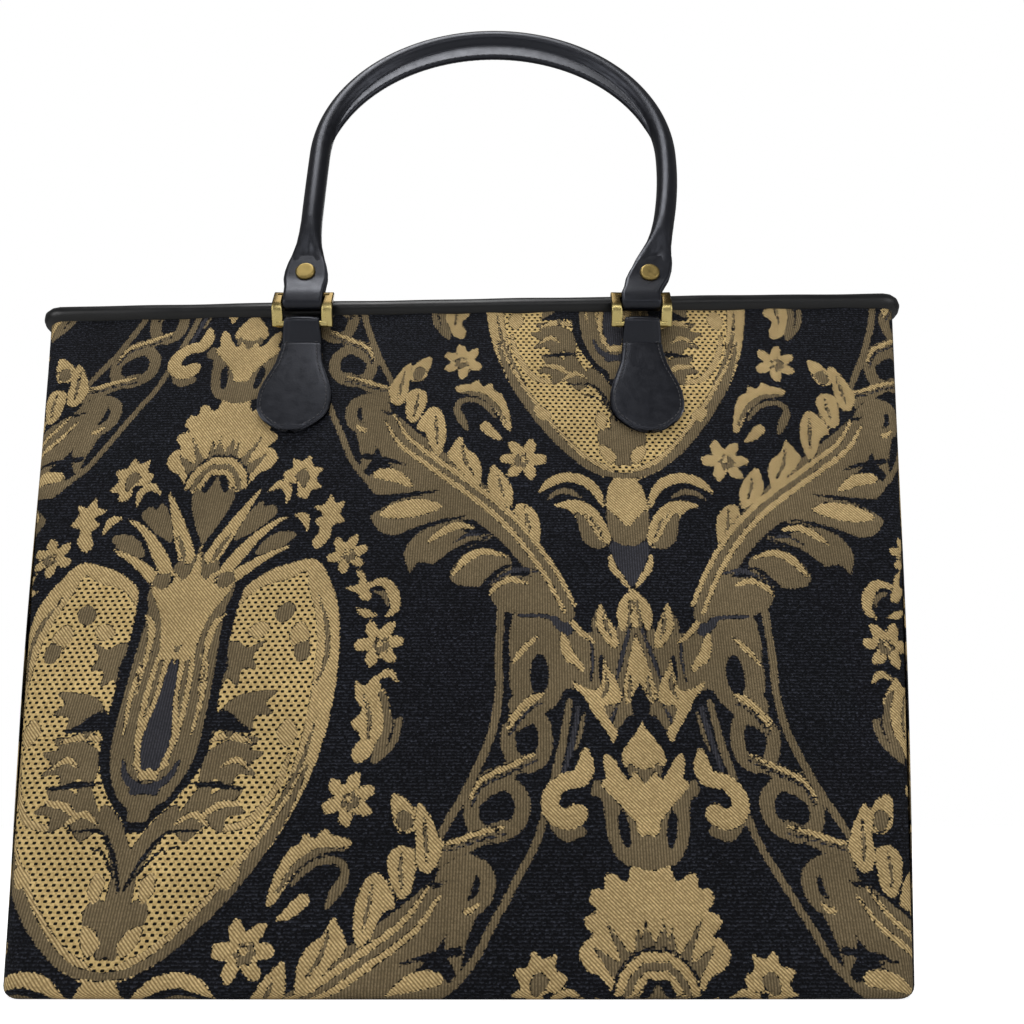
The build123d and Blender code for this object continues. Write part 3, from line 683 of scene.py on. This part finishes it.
beside = np.stack((ahead[:, 1], -ahead[:, 0]), -1)
way = np.arange(len(mouth))
roll = tube_radius * (1 + 0.02 * np.sin(way / 7.0) + 0.015 * np.sin(way / 3.1 + 1))
crest = mouth_height + mouth_tilt(mouth[:, 0], mouth_height)
tube = []
for turn in np.arange(tube_sides) * 2 * math.pi / tube_sides:
    out = beside * (roll * math.cos(turn))[:, None]
    tube.append(np.column_stack((mouth + out, crest + roll * math.sin(turn))))
edge_tube = grid_mesh("edge_tube", np.array(tube).transpose(1, 0, 2), wrap_rows=True, wrap_columns=True)
dress(edge_tube, vinyl, "bag", "top_binding")

# Lining: a bag of plain black cotton, sewn into the mouth edge. It hangs in faint upright folds just
# inside the walls and lies over the base board.
lining_inset, lining_top, lining_floor = 3.8, mouth_height - 1.0, 6.6
fold_share = 0.006
# Cotton: dull and close-woven, so it only shows as a soft dark inside
cotton, tree, shader = new_material("black_cotton_lining")
place = node(tree, "TexCoord").outputs["Object"]
fibre = node(tree, "TexNoise", place, None, 1.4 / MM, 2.0, 0.6)
bump = node(tree, "Bump", 0.3, 0.3 * MM)
plug(tree, bump, Height=fibre)
plug(tree, shader, Base_Color=node(tree, "MixRGB", fibre, "#121216", "#24242a"), Normal=bump,
     Roughness=0.9, Sheen_Weight=0.2)
lining_rows = []
for level in np.linspace(lining_top, lining_floor, 60):
    line = perimeter(level, lining_inset, 120)
    measure = np.arange(len(line))
    free = math.sin(math.pi * level / mouth_height)
    folds = 1 - fold_share * np.sin(measure / 9.0 + level / 40) ** 2 * free
    lining_rows.append(np.column_stack((line * folds[:, None], level + mouth_tilt(line[:, 0], level))))
lowest = lining_rows[-1]
lining_rows += [lowest * (share, share, 1.0) for share in np.linspace(0.97, middle_share, 16)]
lining = grid_mesh("lining_cloth", np.array(lining_rows), wrap_columns=True)
dress(lining, cotton, "bag", "lining")


def paint_node(name, material):
    """Give a CAD node its real material."""
    materials = frame["nodes"][name].data.materials
    materials.clear()
    materials.append(material)


# Base board: a sheet of stiff pressed paper board, laid loose between the base cloth and the lining.
# Board: matt and brownish grey, with a cloudy fibre
board, tree, shader = new_material("grey_board")
place = node(tree, "TexCoord").outputs["Object"]
fibre = node(tree, "TexNoise", place, None, 0.5 / MM, 4.0, 0.6)
plug(tree, shader, Base_Color=node(tree, "MixRGB", fibre, "#6b6155", "#8d8375"), Roughness=0.9)
paint_node("base_board", board)

# Teardrop tabs: black leather folded over the lower bar of each ring and sewn down round its edge and
# across its neck, so that the edge lies pressed and the middle is a little full.
leather_thickness, ring_eye, foot_spacing = 1.5, 1.8, 160.0
tab_dome, seam_press, seam_inset, press_half = 0.35, 0.18, 2.0, 0.7
stitch_pitch, seam_top, cross_level, cross_half, cross_count = 2.25, 266, 266.5, 7.0, 8
# Calf leather: fine pores under a half-gloss finish, so it is nearly black with soft cool highlights
leather, tree, shader = new_material("black_calf_leather")
place = node(tree, "TexCoord").outputs["Object"]
pores = node(tree, "TexVoronoi", place, None, 1.3 / MM)
creases = node(tree, "TexNoise", place, None, 0.24 / MM, 4.0, 0.6)
dye = node(tree, "TexNoise", place, None, 0.035 / MM, 2.0, 0.5)
bump = node(tree, "Bump", 0.1, 0.3 * MM)
plug(tree, bump, Height=node(tree, "Math", pores, 0.6, creases, operation="MULTIPLY_ADD"))
plug(tree, shader, Base_Color=node(tree, "MixRGB", dye, "#050508", "#0a0b10"), Normal=bump,
     Roughness=node(tree, "MapRange", creases, 0.3, 0.7, 0.28, 0.4), Specular_IOR_Level=0.44,
     Specular_Tint="#e9eeff")
# Waxed thread: dull dark grey, so the stitches show against the glossy leather
waxed_thread, tree, shader = new_material("waxed_black_thread")
place = node(tree, "TexCoord").outputs["Object"]
ply = node(tree, "TexNoise", place, None, 2.5 / MM, 2.0, 0.6)
plug(tree, shader, Base_Color=node(tree, "MixRGB", ply, "#1d1d20", "#3a3a3f"), Roughness=0.55)
joints = {joint["name"]: np.array(joint["pos_m"]) / MM for joint in frame["joints"]}


def face_y(x, level):
    """Distance of the slack face from the middle plane of the bag, at x and a level."""
    half_width, half_depth = half_sizes(level)
    belly = np.polyval(belly_curve, level / mouth_height)
    return half_depth + belly * (1 - (x / half_width) ** 2) + face_slack(x, level)


def stitch_row(name, places, aheads, outs, size=(0.85, 0.3, 0.24)):
    """Small thread stitches at places, each long way ahead and standing out; size is of half a stitch."""
    tall, around, end_turn = 4, 8, 0.12
    a, b = np.meshgrid(np.linspace(end_turn, math.pi - end_turn, tall),
                       np.arange(around) * 2 * math.pi / around, indexing="ij")
    shape = np.stack((-np.cos(a), np.sin(a) * np.cos(b), np.sin(a) * np.sin(b)), -1).reshape(-1, 3) * size
    faces = []
    for i, j in itertools.product(range(tall - 1), range(around)):
        k = (j + 1) % around
        faces.append((i * around + j, i * around + k, (i + 1) * around + k, (i + 1) * around + j))
    points, all_faces = [], []
    for number, (place, ahead, out) in enumerate(zip(places, aheads, outs)):
        ahead = ahead / np.linalg.norm(ahead)
        side = np.cross(out, ahead)
        side /= np.linalg.norm(side)
        points.append(place + shape @ np.array((ahead, side, np.cross(ahead, side))))
        all_faces += [[v + number * len(shape) for v in face] for face in faces]
    mesh = bpy.data.meshes.new(name)
    mesh.from_pydata((np.concatenate(points) * MM).tolist(), [], all_faces)
    mesh.shade_smooth()
    piece = bpy.data.objects.new(name, mesh)
    bpy.context.scene.collection.objects.link(piece)
    return piece


def strip_mesh(name, middles, acrosses, outs, half_widths, thickness, dome=0.0, press=0.0):
    """A leather strip along middles with rounded edges, domed in its middle and pressed along its seams."""
    columns, wide = 25, 6
    share = np.concatenate((np.linspace(-1, 1, columns), np.linspace(1, -1, columns)))
    top = np.concatenate((np.ones(columns), -np.ones(columns)))
    rows = []
    for middle, across, out, half in zip(middles, acrosses, outs, half_widths):
        inside = (1 - np.abs(share)) * half
        edge = np.clip(inside / (thickness * 0.55), 0, 1)
        rise = thickness / 2 * np.sqrt(np.clip(1 - (1 - edge) ** 2, 0, 1))
        groove = press * np.exp(-(((inside - seam_inset) / press_half) ** 2))
        full = (dome * (1 - share**2) - groove) * np.clip(half / wide, 0, 1)
        lift = np.where(top > 0, rise + full, -rise)
        rows.append(middle + across * (share * half)[:, None] + out * lift[:, None])
    return grid_mesh(name, np.array(rows), wrap_columns=True)


tab_outline = np.array((
    (218.3, 0.8), (218.6, 3.0), (219.3, 5.6), (220.8, 8.7), (223.2, 11.9), (226, 14.5), (229.8, 16.3),
    (234.5, 16.75), (239.1, 16.4), (243.8, 15.2), (249.5, 13.0), (255.1, 10.9), (262, 9.6), (269.4, 8.9),
    (275, 8.3), (279.0, 7.8),
))
tab_levels, tab_halves = tab_outline.T
for side, facing in (("front", 1), ("back", -1)):
    bar = joints[side + "_ring_hinge"]
    bar_out, bar_level = abs(bar[1]), bar[2]
    for hand, x_side in (("left", -1), ("right", 1)):
        foot = x_side * foot_spacing / 2
        levels = np.concatenate((tab_levels[:4], np.linspace(221.0, bar_level - 9, 40)))
        path = [(face_y(foot, level) + leather_thickness * 1.55, level) for level in levels]
        loop_middle = ring_eye + leather_thickness / 2
        for turn in np.linspace(-0.3, math.pi + 0.35, 12):
            path.append((bar_out + loop_middle * math.cos(turn), bar_level + loop_middle * math.sin(turn)))
        path += [(face_y(foot, level) + leather_thickness * 0.5, level) for level in levels[::-1]]
        path = smooth_line(path, False, 3)
        slope = np.gradient(path, axis=0)
        slope /= np.linalg.norm(slope, axis=1)[:, None] + 1e-9
        halves = np.interp(path[:, 1], tab_levels, tab_halves)
        middles = np.column_stack((np.full(len(path), facing * foot), -facing * path[:, 0], path[:, 1]))
        outs = np.column_stack((np.zeros(len(path)), -facing * slope[:, 1], -slope[:, 0]))
        outs[0], outs[-1] = outs[1], outs[-2]
        acrosses = np.tile((float(facing), 0.0, 0.0), (len(path), 1))
        tab = strip_mesh(f"{side}_{hand}_tab_leather", middles, acrosses, outs, halves,
                         leather_thickness, tab_dome, seam_press)
        dress(tab, leather, "bag", f"{side}_{hand}_tab")
        half_outline = np.column_stack((tab_halves, tab_levels))
        outline = np.concatenate((half_outline[::-1], half_outline * (-1, 1)))
        outline = smooth_line(outline[1:-1], False, 6)
        step = np.gradient(outline, axis=0)
        step /= np.linalg.norm(step, axis=1)[:, None]
        inner = outline + seam_inset * np.stack((step[:, 1], -step[:, 0]), -1)
        inner = inner[inner[:, 1] < seam_top]
        length = np.concatenate(((0,), np.cumsum(np.linalg.norm(np.diff(inner, axis=0), axis=1))))
        even = np.arange(1.0, length[-1], stitch_pitch)
        sewn = np.stack((np.interp(even, length, inner[:, 0]), np.interp(even, length, inner[:, 1])), -1)
        cross_up = cross_level + 0.3 * (np.arange(cross_count) % 2)
        cross = np.column_stack((np.linspace(-cross_half, cross_half, cross_count), cross_up))
        sewn_ahead = np.concatenate((np.gradient(sewn, axis=0), np.tile((1.0, 0.25), (cross_count, 1))))
        sewn = np.concatenate((sewn, cross))
        outer = path[: len(path) // 2]
        surface = np.interp(sewn[:, 1], outer[:, 1], outer[:, 0]) + leather_thickness / 2 + 0.08
        places = np.column_stack((facing * (foot + sewn[:, 0]), -facing * surface, sewn[:, 1]))
        aheads = np.column_stack((facing * sewn_ahead[:, 0], np.zeros(len(sewn)), sewn_ahead[:, 1]))
        stands = np.tile((0.0, -float(facing), 0.0), (len(sewn), 1))
        stitches = stitch_row(f"{side}_{hand}_tab_stitches", places, aheads, stands)
        dress(stitches, waxed_thread, "bag")

# Bent brass rings: two flat side bars, bent outwards in the middle, and a round bar across each end,
# one in the fold of the tab and one in the loop of the handle.
ring_half, bar_width, tab_bar_width = 14.2, 4.2, 5.3
bar_thickness, bar_bevel, bar_radius = 2.4, 0.7, 1.6
flat_tip, flat_bend = (3.2, 14.2), (4.8, 6.2)
lower_reach, upper_reach, tip_widths = 1.3, 1.6, (0.88, 0.5)
# Brass with a painted reflection: the half at the tab is painted bright as if it caught the light, and the
# half at the handle is painted dark brown as if it mirrored a dark room; both are mottled at random
reflection_split_from, reflection_split_to = 7.6, 10.0
ring_brass, tree, shader = new_material("brass_painted_reflection")
place = node(tree, "TexCoord").outputs["Object"]
rub = node(tree, "TexNoise", place, None, 0.16 / MM, 3.0, 0.6)
spot = node(tree, "SeparateXYZ", place)
outwards = node(tree, "Math", spot.outputs[1], operation="ABSOLUTE")
folded = node(tree, "CombineXYZ", 0.0, outwards, spot.outputs[2])
tab_bar = np.abs(joints["front_ring_hinge"]) * MM
from_tab = node(tree, "VectorMath", folded, tab_bar.tolist(), operation="DISTANCE").outputs["Value"]
# Painted reflection: the brass turns from painted bright to painted dark brown past the bend, by distance
# from the bar in the tab
painted_reflection_split = node(tree, "MapRange", from_tab, reflection_split_from * MM, reflection_split_to * MM, 0.0, 1.0)
painted_bright_reflection = node(tree, "MixRGB", rub, "#b7a364", "#d2c288")
painted_dark_reflection = node(tree, "MixRGB", rub, "#4a3d21", "#6a5937")
plug(tree, shader, Base_Color=node(tree, "MixRGB", painted_reflection_split, painted_bright_reflection, painted_dark_reflection), Metallic=1.0,
     Roughness=node(tree, "MapRange", rub, 0.3, 0.7, 0.22, 0.34))
for side, facing in (("front", 1), ("back", -1)):
    lower, upper = joints[side + "_ring_hinge"], joints[side + "_handle_hinge"]
    tip = np.array((-facing * (upper - lower)[1], (upper - lower)[2]))
    turn = math.atan2(tip[0], tip[1]) - math.atan2(*flat_tip)
    cosine, sine = math.cos(turn), math.sin(turn)
    bend = np.array(((cosine, sine), (-sine, cosine))) @ flat_bend
    after = tip - bend
    last = after / np.linalg.norm(after)
    bar_line = [-bend / np.linalg.norm(bend) * lower_reach, bend * 0.3]
    for t in np.linspace(0, 1, 9):
        bar_line.append((1 - t) ** 2 * 0.55 * bend + 2 * t * (1 - t) * bend + t**2 * (bend + 0.4 * after))
    bar_line += [bend + 0.6 * after, tip, tip + (upper_reach - 0.6) * last, tip + upper_reach * last]
    bar_line = np.array(bar_line)
    bar_widths = np.linspace(tab_bar_width, bar_width, len(bar_line))
    bar_widths[-2:] *= tip_widths
    for hand, x_side in (("left", -1), ("right", 1)):
        foot = facing * x_side * foot_spacing / 2
        pieces = []
        for bar_side in (-1, 1):
            bpy.ops.mesh.primitive_grid_add(x_subdivisions=1, y_subdivisions=len(bar_line) - 1, size=1)
            bar = bpy.context.object
            rows = np.array([v.co for v in bar.data.vertices])
            order = np.rint((rows[:, 1] + 0.5) * (len(bar_line) - 1)).astype(int)
            widths = bar_widths[order]
            x = foot + bar_side * (ring_half - widths / 2) + rows[:, 0] * widths
            y = lower[1] - facing * bar_line[order, 0]
            z = lower[2] + bar_line[order, 1]
            bar.data.vertices.foreach_set("co", (np.stack((x, y, z), -1) * MM).ravel())
            solid = bar.modifiers.new("thickness", "SOLIDIFY")
            solid.thickness, solid.offset = bar_thickness * MM, 0.0
            bpy.ops.object.modifier_apply(modifier=solid.name)
            bevel = bar.modifiers.new("soft_edges", "BEVEL")
            bevel.width, bevel.segments = bar_bevel * MM, 4
            bpy.ops.object.modifier_apply(modifier=bevel.name)
            pieces.append(bar)
        for axis in (lower, upper):
            bpy.ops.mesh.primitive_cylinder_add(
                vertices=32, radius=bar_radius * MM, depth=2 * (ring_half - bar_width / 2) * MM,
                location=(foot * MM, axis[1] * MM, axis[2] * MM), rotation=(0, math.pi / 2, 0))
            pieces.append(bpy.context.object)
        for piece in pieces:
            piece.select_set(True)
        bpy.context.view_layer.objects.active = pieces[0]
        bpy.ops.object.join()
        bpy.ops.object.transform_apply()
        ring = bpy.context.object
        ring.name = f"{side}_{hand}_brass_ring"
        bpy.ops.object.shade_smooth_by_angle(angle=math.radians(40))
        bpy.ops.object.select_all(action="DESELECT")
        dress(ring, ring_brass, side + "_rings", f"{side}_{hand}_ring")

# Rivets: domed heads of cast brass on a short shank, one through each end of a handle, hammered over
# behind so that the folded strap stays closed round its ring.
# Antique brass: browned and dulled, brighter where it is rubbed
rivet_brass, tree, shader = new_material("antique_brass")
place = node(tree, "TexCoord").outputs["Object"]
tarnish = node(tree, "TexNoise", place, None, 0.3 / MM, 4.0, 0.6)
plug(tree, shader, Base_Color=node(tree, "MixRGB", tarnish, "#7a693c", "#a18c58"), Metallic=1.0,
     Roughness=node(tree, "MapRange", tarnish, 0.3, 0.7, 0.3, 0.45))
for side in ("front", "back"):
    paint_node(side + "_rivets", rivet_brass)

# Rolled handles: leather rolled round a cord and sewn to a web along the inside of the crown. The roll
# flattens towards each end to a strap that folds round the upper bar of a ring and is riveted to itself.
handle_radius, handle_spring, handle_sway = 90.5, 92.0, 9.0
roll_radius, web_depth, web_half = 5.2, 9.3, 1.5
web_end = handle_radius - roll_radius - web_depth
web_reach = (handle_radius - 4.0) ** 2 / web_end
web_radius, web_drop = (web_end + web_reach) / 2, (web_reach - web_end) / 2
leg_heights = (6.0, 12.0, 17.0, 20.0, 25.0, 31.0, 38.0, 46.0, 56.0)
leg_widths = (17.0, 19.4, 18.4, 17.6, 15.2, 12.4, 11.0, 10.4, 10.4)
leg_depths = (2.2, 2.8, 3.4, 3.8, 5.0, 7.0, 8.9, 10.1, 10.4)
leg_squares = (5.0, 5.0, 4.5, 4.0, 3.2, 2.6, 2.2, 2.0, 2.0)
hollow_depth, hollow_height, hollow_half, hollow_share = 1.25, 25.0, 7.5, 0.2
strap_thickness, strap_bend, strap_drop = 1.6, 2.55, 4.8
strap_heights = (-8, 0, 4.0, 9.5, 14.0, 19.0, 23.0)
strap_halves = (9.3, 9.3, 9.5, 10.5, 10.2, 9.2, 8.0)
web_pitch, web_least, web_seam_inset = 2.2, 3.0, 1.3
front_lean, back_lean = math.radians(3.248), math.radians(180 - 6.131)


def leg_x(height, x_side):
    """Middle of a leg at a height above the ring's bar."""
    start = handle_sway + x_side * handle_radius
    lean = x_side * start - foot_spacing / 2
    bend = (lean**2 + handle_spring**2) / (2 * lean)
    return start - x_side * (bend - np.sqrt(bend**2 - (handle_spring - height) ** 2))


heights = np.concatenate((np.linspace(6, 56, 60), np.linspace(57, handle_spring, 22)))
arc = np.linspace(math.pi, 0, 150)[1:-1]
crown_x, crown_y = handle_sway + handle_radius * np.cos(arc), handle_spring + handle_radius * np.sin(arc)
line_x = np.concatenate((leg_x(heights, -1), crown_x, leg_x(heights[::-1], 1)))
line_y = np.concatenate((heights, crown_y, heights[::-1]))
step = np.stack((np.gradient(line_x), np.gradient(line_y)), -1)
step /= np.linalg.norm(step, axis=1)[:, None]
outward = np.stack((-step[:, 1], step[:, 0]), -1)
round_share = np.clip((line_y - 6.0) / 22.0, 0, 1)[:, None]
flat = np.where(line_x < handle_sway, -1.0, 1.0)[:, None] * (1.0, 0.0)
leg_outward = outward * round_share + flat * (1 - round_share)
outward = np.where(line_y[:, None] < handle_spring, leg_outward, outward)
outward /= np.linalg.norm(outward, axis=1)[:, None]
spread = np.cos(np.linspace(0, math.pi, 30))
for side, x_way, lean in (("front", 1.0, front_lean), ("back", -1.0, back_lean)):
    grip = side + "_grip"
    origin = joints[side + "_handle_hinge"]
    along = np.array((x_way, 0.0, 0.0))
    rise = np.array((0.0, math.sin(lean), math.cos(lean)))
    out = np.cross(along, rise)
    rows, web_edges = [], []
    for x, y, (nx, ny) in zip(line_x, line_y, outward):
        if y > handle_spring:
            cosine = (y - handle_spring) / handle_radius
            reach = -web_drop * cosine + math.sqrt(web_radius**2 - web_drop**2 * (1 - cosine**2))
            web = max(handle_radius - roll_radius - reach, 0.0)
            low, high = -roll_radius - web, roll_radius
            a = (low + high) / 2 + (high - low) / 2 * spread
            roll_half = np.sqrt(np.clip(roll_radius**2 - a**2, 0, None))
            end = np.clip((a - low) / web_half, 0, 1)
            web_side = web_half * np.sqrt(np.clip(1 - (1 - end) ** 2, 0, 1)) * min(web / web_half, 1.0)
            web_side *= np.clip((2.0 - a) / 2.0, 0, 1)
            back_half = front_half = (roll_half**3 + web_side**3) ** (1 / 3)
            web_edges.append((x, y, nx, ny, web))
        else:
            width = np.interp(y, leg_heights, leg_widths)
            depth = np.interp(y, leg_heights, leg_depths)
            square = np.interp(y, leg_heights, leg_squares)
            a = width / 2 * spread
            back_half = depth / 2 * np.clip(1 - np.abs(spread) ** square, 0, 1) ** (1 / square)
            hollow = hollow_depth * math.exp(-(((y - hollow_height) / hollow_half) ** 2))
            hollow = hollow * np.exp(-((a / (hollow_share * width)) ** 2))
            front_half = back_half - np.minimum(hollow, back_half * 0.6)
        ring = np.concatenate((np.stack((a, front_half), -1), np.stack((a, -back_half), -1)[::-1][1:-1]))
        a, b = ring[:, :1], ring[:, 1:]
        rows.append(origin + along * (x + nx * a) + rise * (y + ny * a) + out * b)
    handle = grid_mesh(f"{side}_handle_leather", np.array(rows), wrap_columns=True)
    dress(handle, leather, grip, side + "_handle")
    for hand, x_side in (("left", -1), ("right", 1)):
        loop = [(0.95, 23.0), (0.95, 19.0), (0.95, 14.0), (1.05, 9.0), (1.8, 4.0), (2.55, 0.0), (2.6, -4.6)]
        behind = [(-o, h) for o, h in loop[::-1]]
        for turn in np.linspace(0.3, math.pi - 0.3, 7):
            loop.append((strap_bend * math.cos(turn), -strap_drop - strap_bend * math.sin(turn)))
        loop = smooth_line(loop + behind, False, 4)
        slope = np.gradient(loop, axis=0)
        slope /= np.linalg.norm(slope, axis=1)[:, None]
        halves = np.interp(loop[:, 1], strap_heights, strap_halves)
        leg = leg_x(np.clip(loop[:, 1], 0, None), x_side)
        middle_x = np.where(loop[:, 1] > 0, leg, x_side * foot_spacing / 2)[:, None]
        middles = origin + along * middle_x + rise * loop[:, 1:] + out * loop[:, :1]
        outs = out * -slope[:, 1:] + rise * slope[:, :1]
        acrosses = np.tile(along, (len(loop), 1))
        strap = strip_mesh(f"{side}_{hand}_strap_loop", middles, acrosses, outs, halves, strap_thickness)
        dress(strap, leather, grip)
    places, aheads, stands = [], [], []
    travelled = 0.0
    for (x0, y0, _, _, _), (x, y, nx, ny, web) in zip(web_edges, web_edges[1:]):
        travelled += math.hypot(x - x0, y - y0) * (handle_radius - roll_radius - web) / handle_radius
        if travelled < web_pitch or web < web_least:
            continue
        travelled = 0.0
        a = -roll_radius - web + web_seam_inset
        for face in (1, -1):
            stand = out * (face * (web_half + 0.02))
            places.append(origin + along * (x + nx * a) + rise * (y + ny * a) + stand)
            aheads.append(along * (x - x0) + rise * (y - y0))
            stands.append(out * face)
    seam = stitch_row(f"{side}_handle_stitches", places, aheads, stands, (0.8, 0.26, 0.2))
    dress(seam, waxed_thread, grip)

# Stage: a white paper floor that runs out into a white surround, which lights the bag only dimly, with
# soft lights above, at both sides and low in front
floor_half, paper_glow, dim_light = 6000.0, 0.85, 0.18
floor_edges = (-floor_half, 0.0, floor_half)
floor = grid_mesh("floor", np.array([[(x, y, 0.0) for x in floor_edges] for y in floor_edges]))
# Paper: matt white that glows for the camera alone, so that the ground reads as plain white
paper, tree, shader = new_material("white_paper")
seen = node(tree, "LightPath").outputs["Is Camera Ray"]
plug(tree, shader, Base_Color="#f4f4f2", Roughness=0.9, Emission_Color="#ffffff",
     Emission_Strength=node(tree, "Math", seen, paper_glow, operation="MULTIPLY"))
floor.data.materials.append(paper)
world = bpy.data.worlds.new("studio")
bpy.context.scene.world = world
world.use_nodes = True
tree = world.node_tree
seen = node(tree, "LightPath").outputs["Is Camera Ray"]
plug(tree, tree.nodes["Background"], Color="#ffffff",
     Strength=node(tree, "MapRange", seen, 0.0, 1.0, dim_light, 1.0))


def area_light(name, place, target, size, power):
    """A soft rectangular light at a place, turned towards a target; sizes in metres and watts."""
    light = bpy.data.lights.new(name, "AREA")
    light.shape = "RECTANGLE"
    light.size, light.size_y = size
    light.energy = power
    lamp = bpy.data.objects.new(name, light)
    lamp.location = place
    lamp.rotation_euler = (Vector(target) - Vector(place)).to_track_quat("-Z", "Y").to_euler()
    bpy.context.scene.collection.objects.link(lamp)


area_light("front_strip", (0.1, -1.9, 0.86), (0, 0, 0.28), (1.5, 0.22), 4.5)
area_light("overhead", (-0.2, -0.7, 1.6), (0, 0, 0.2), (0.7, 0.7), 11)
area_light("left_fill", (-1.6, -1.5, 0.7), (0, 0, 0.2), (1.0, 1.0), 10)
area_light("right_fill", (1.6, -1.4, 0.6), (0, 0, 0.2), (1.0, 1.0), 8)
area_light("back_fill", (0.6, 1.8, 1.4), (0, 0, 0.2), (1.0, 1.0), 10)

# Camera: close in front and low, looking up at the face; its focal length and centre are in pixels of
# a square picture
picture, focal, centre_x, centre_y = 1024, 784, 507, 522
look_up = 20.8
camera = bpy.data.cameras.new("camera")
camera.sensor_width = 36.0
camera.lens = camera.sensor_width * focal / picture
camera.shift_x = (picture / 2 - centre_x) / picture
camera.shift_y = (centre_y - picture / 2) / picture
camera.clip_start = 0.01
view = bpy.data.objects.new("camera", camera)
view.location = (0.0165, -0.378, 0.057)
view.rotation_euler = (math.radians(90 + look_up), 0, 0)
bpy.context.scene.collection.objects.link(view)
bpy.context.scene.camera = view
bpy.context.scene.view_settings.view_transform = "Standard"
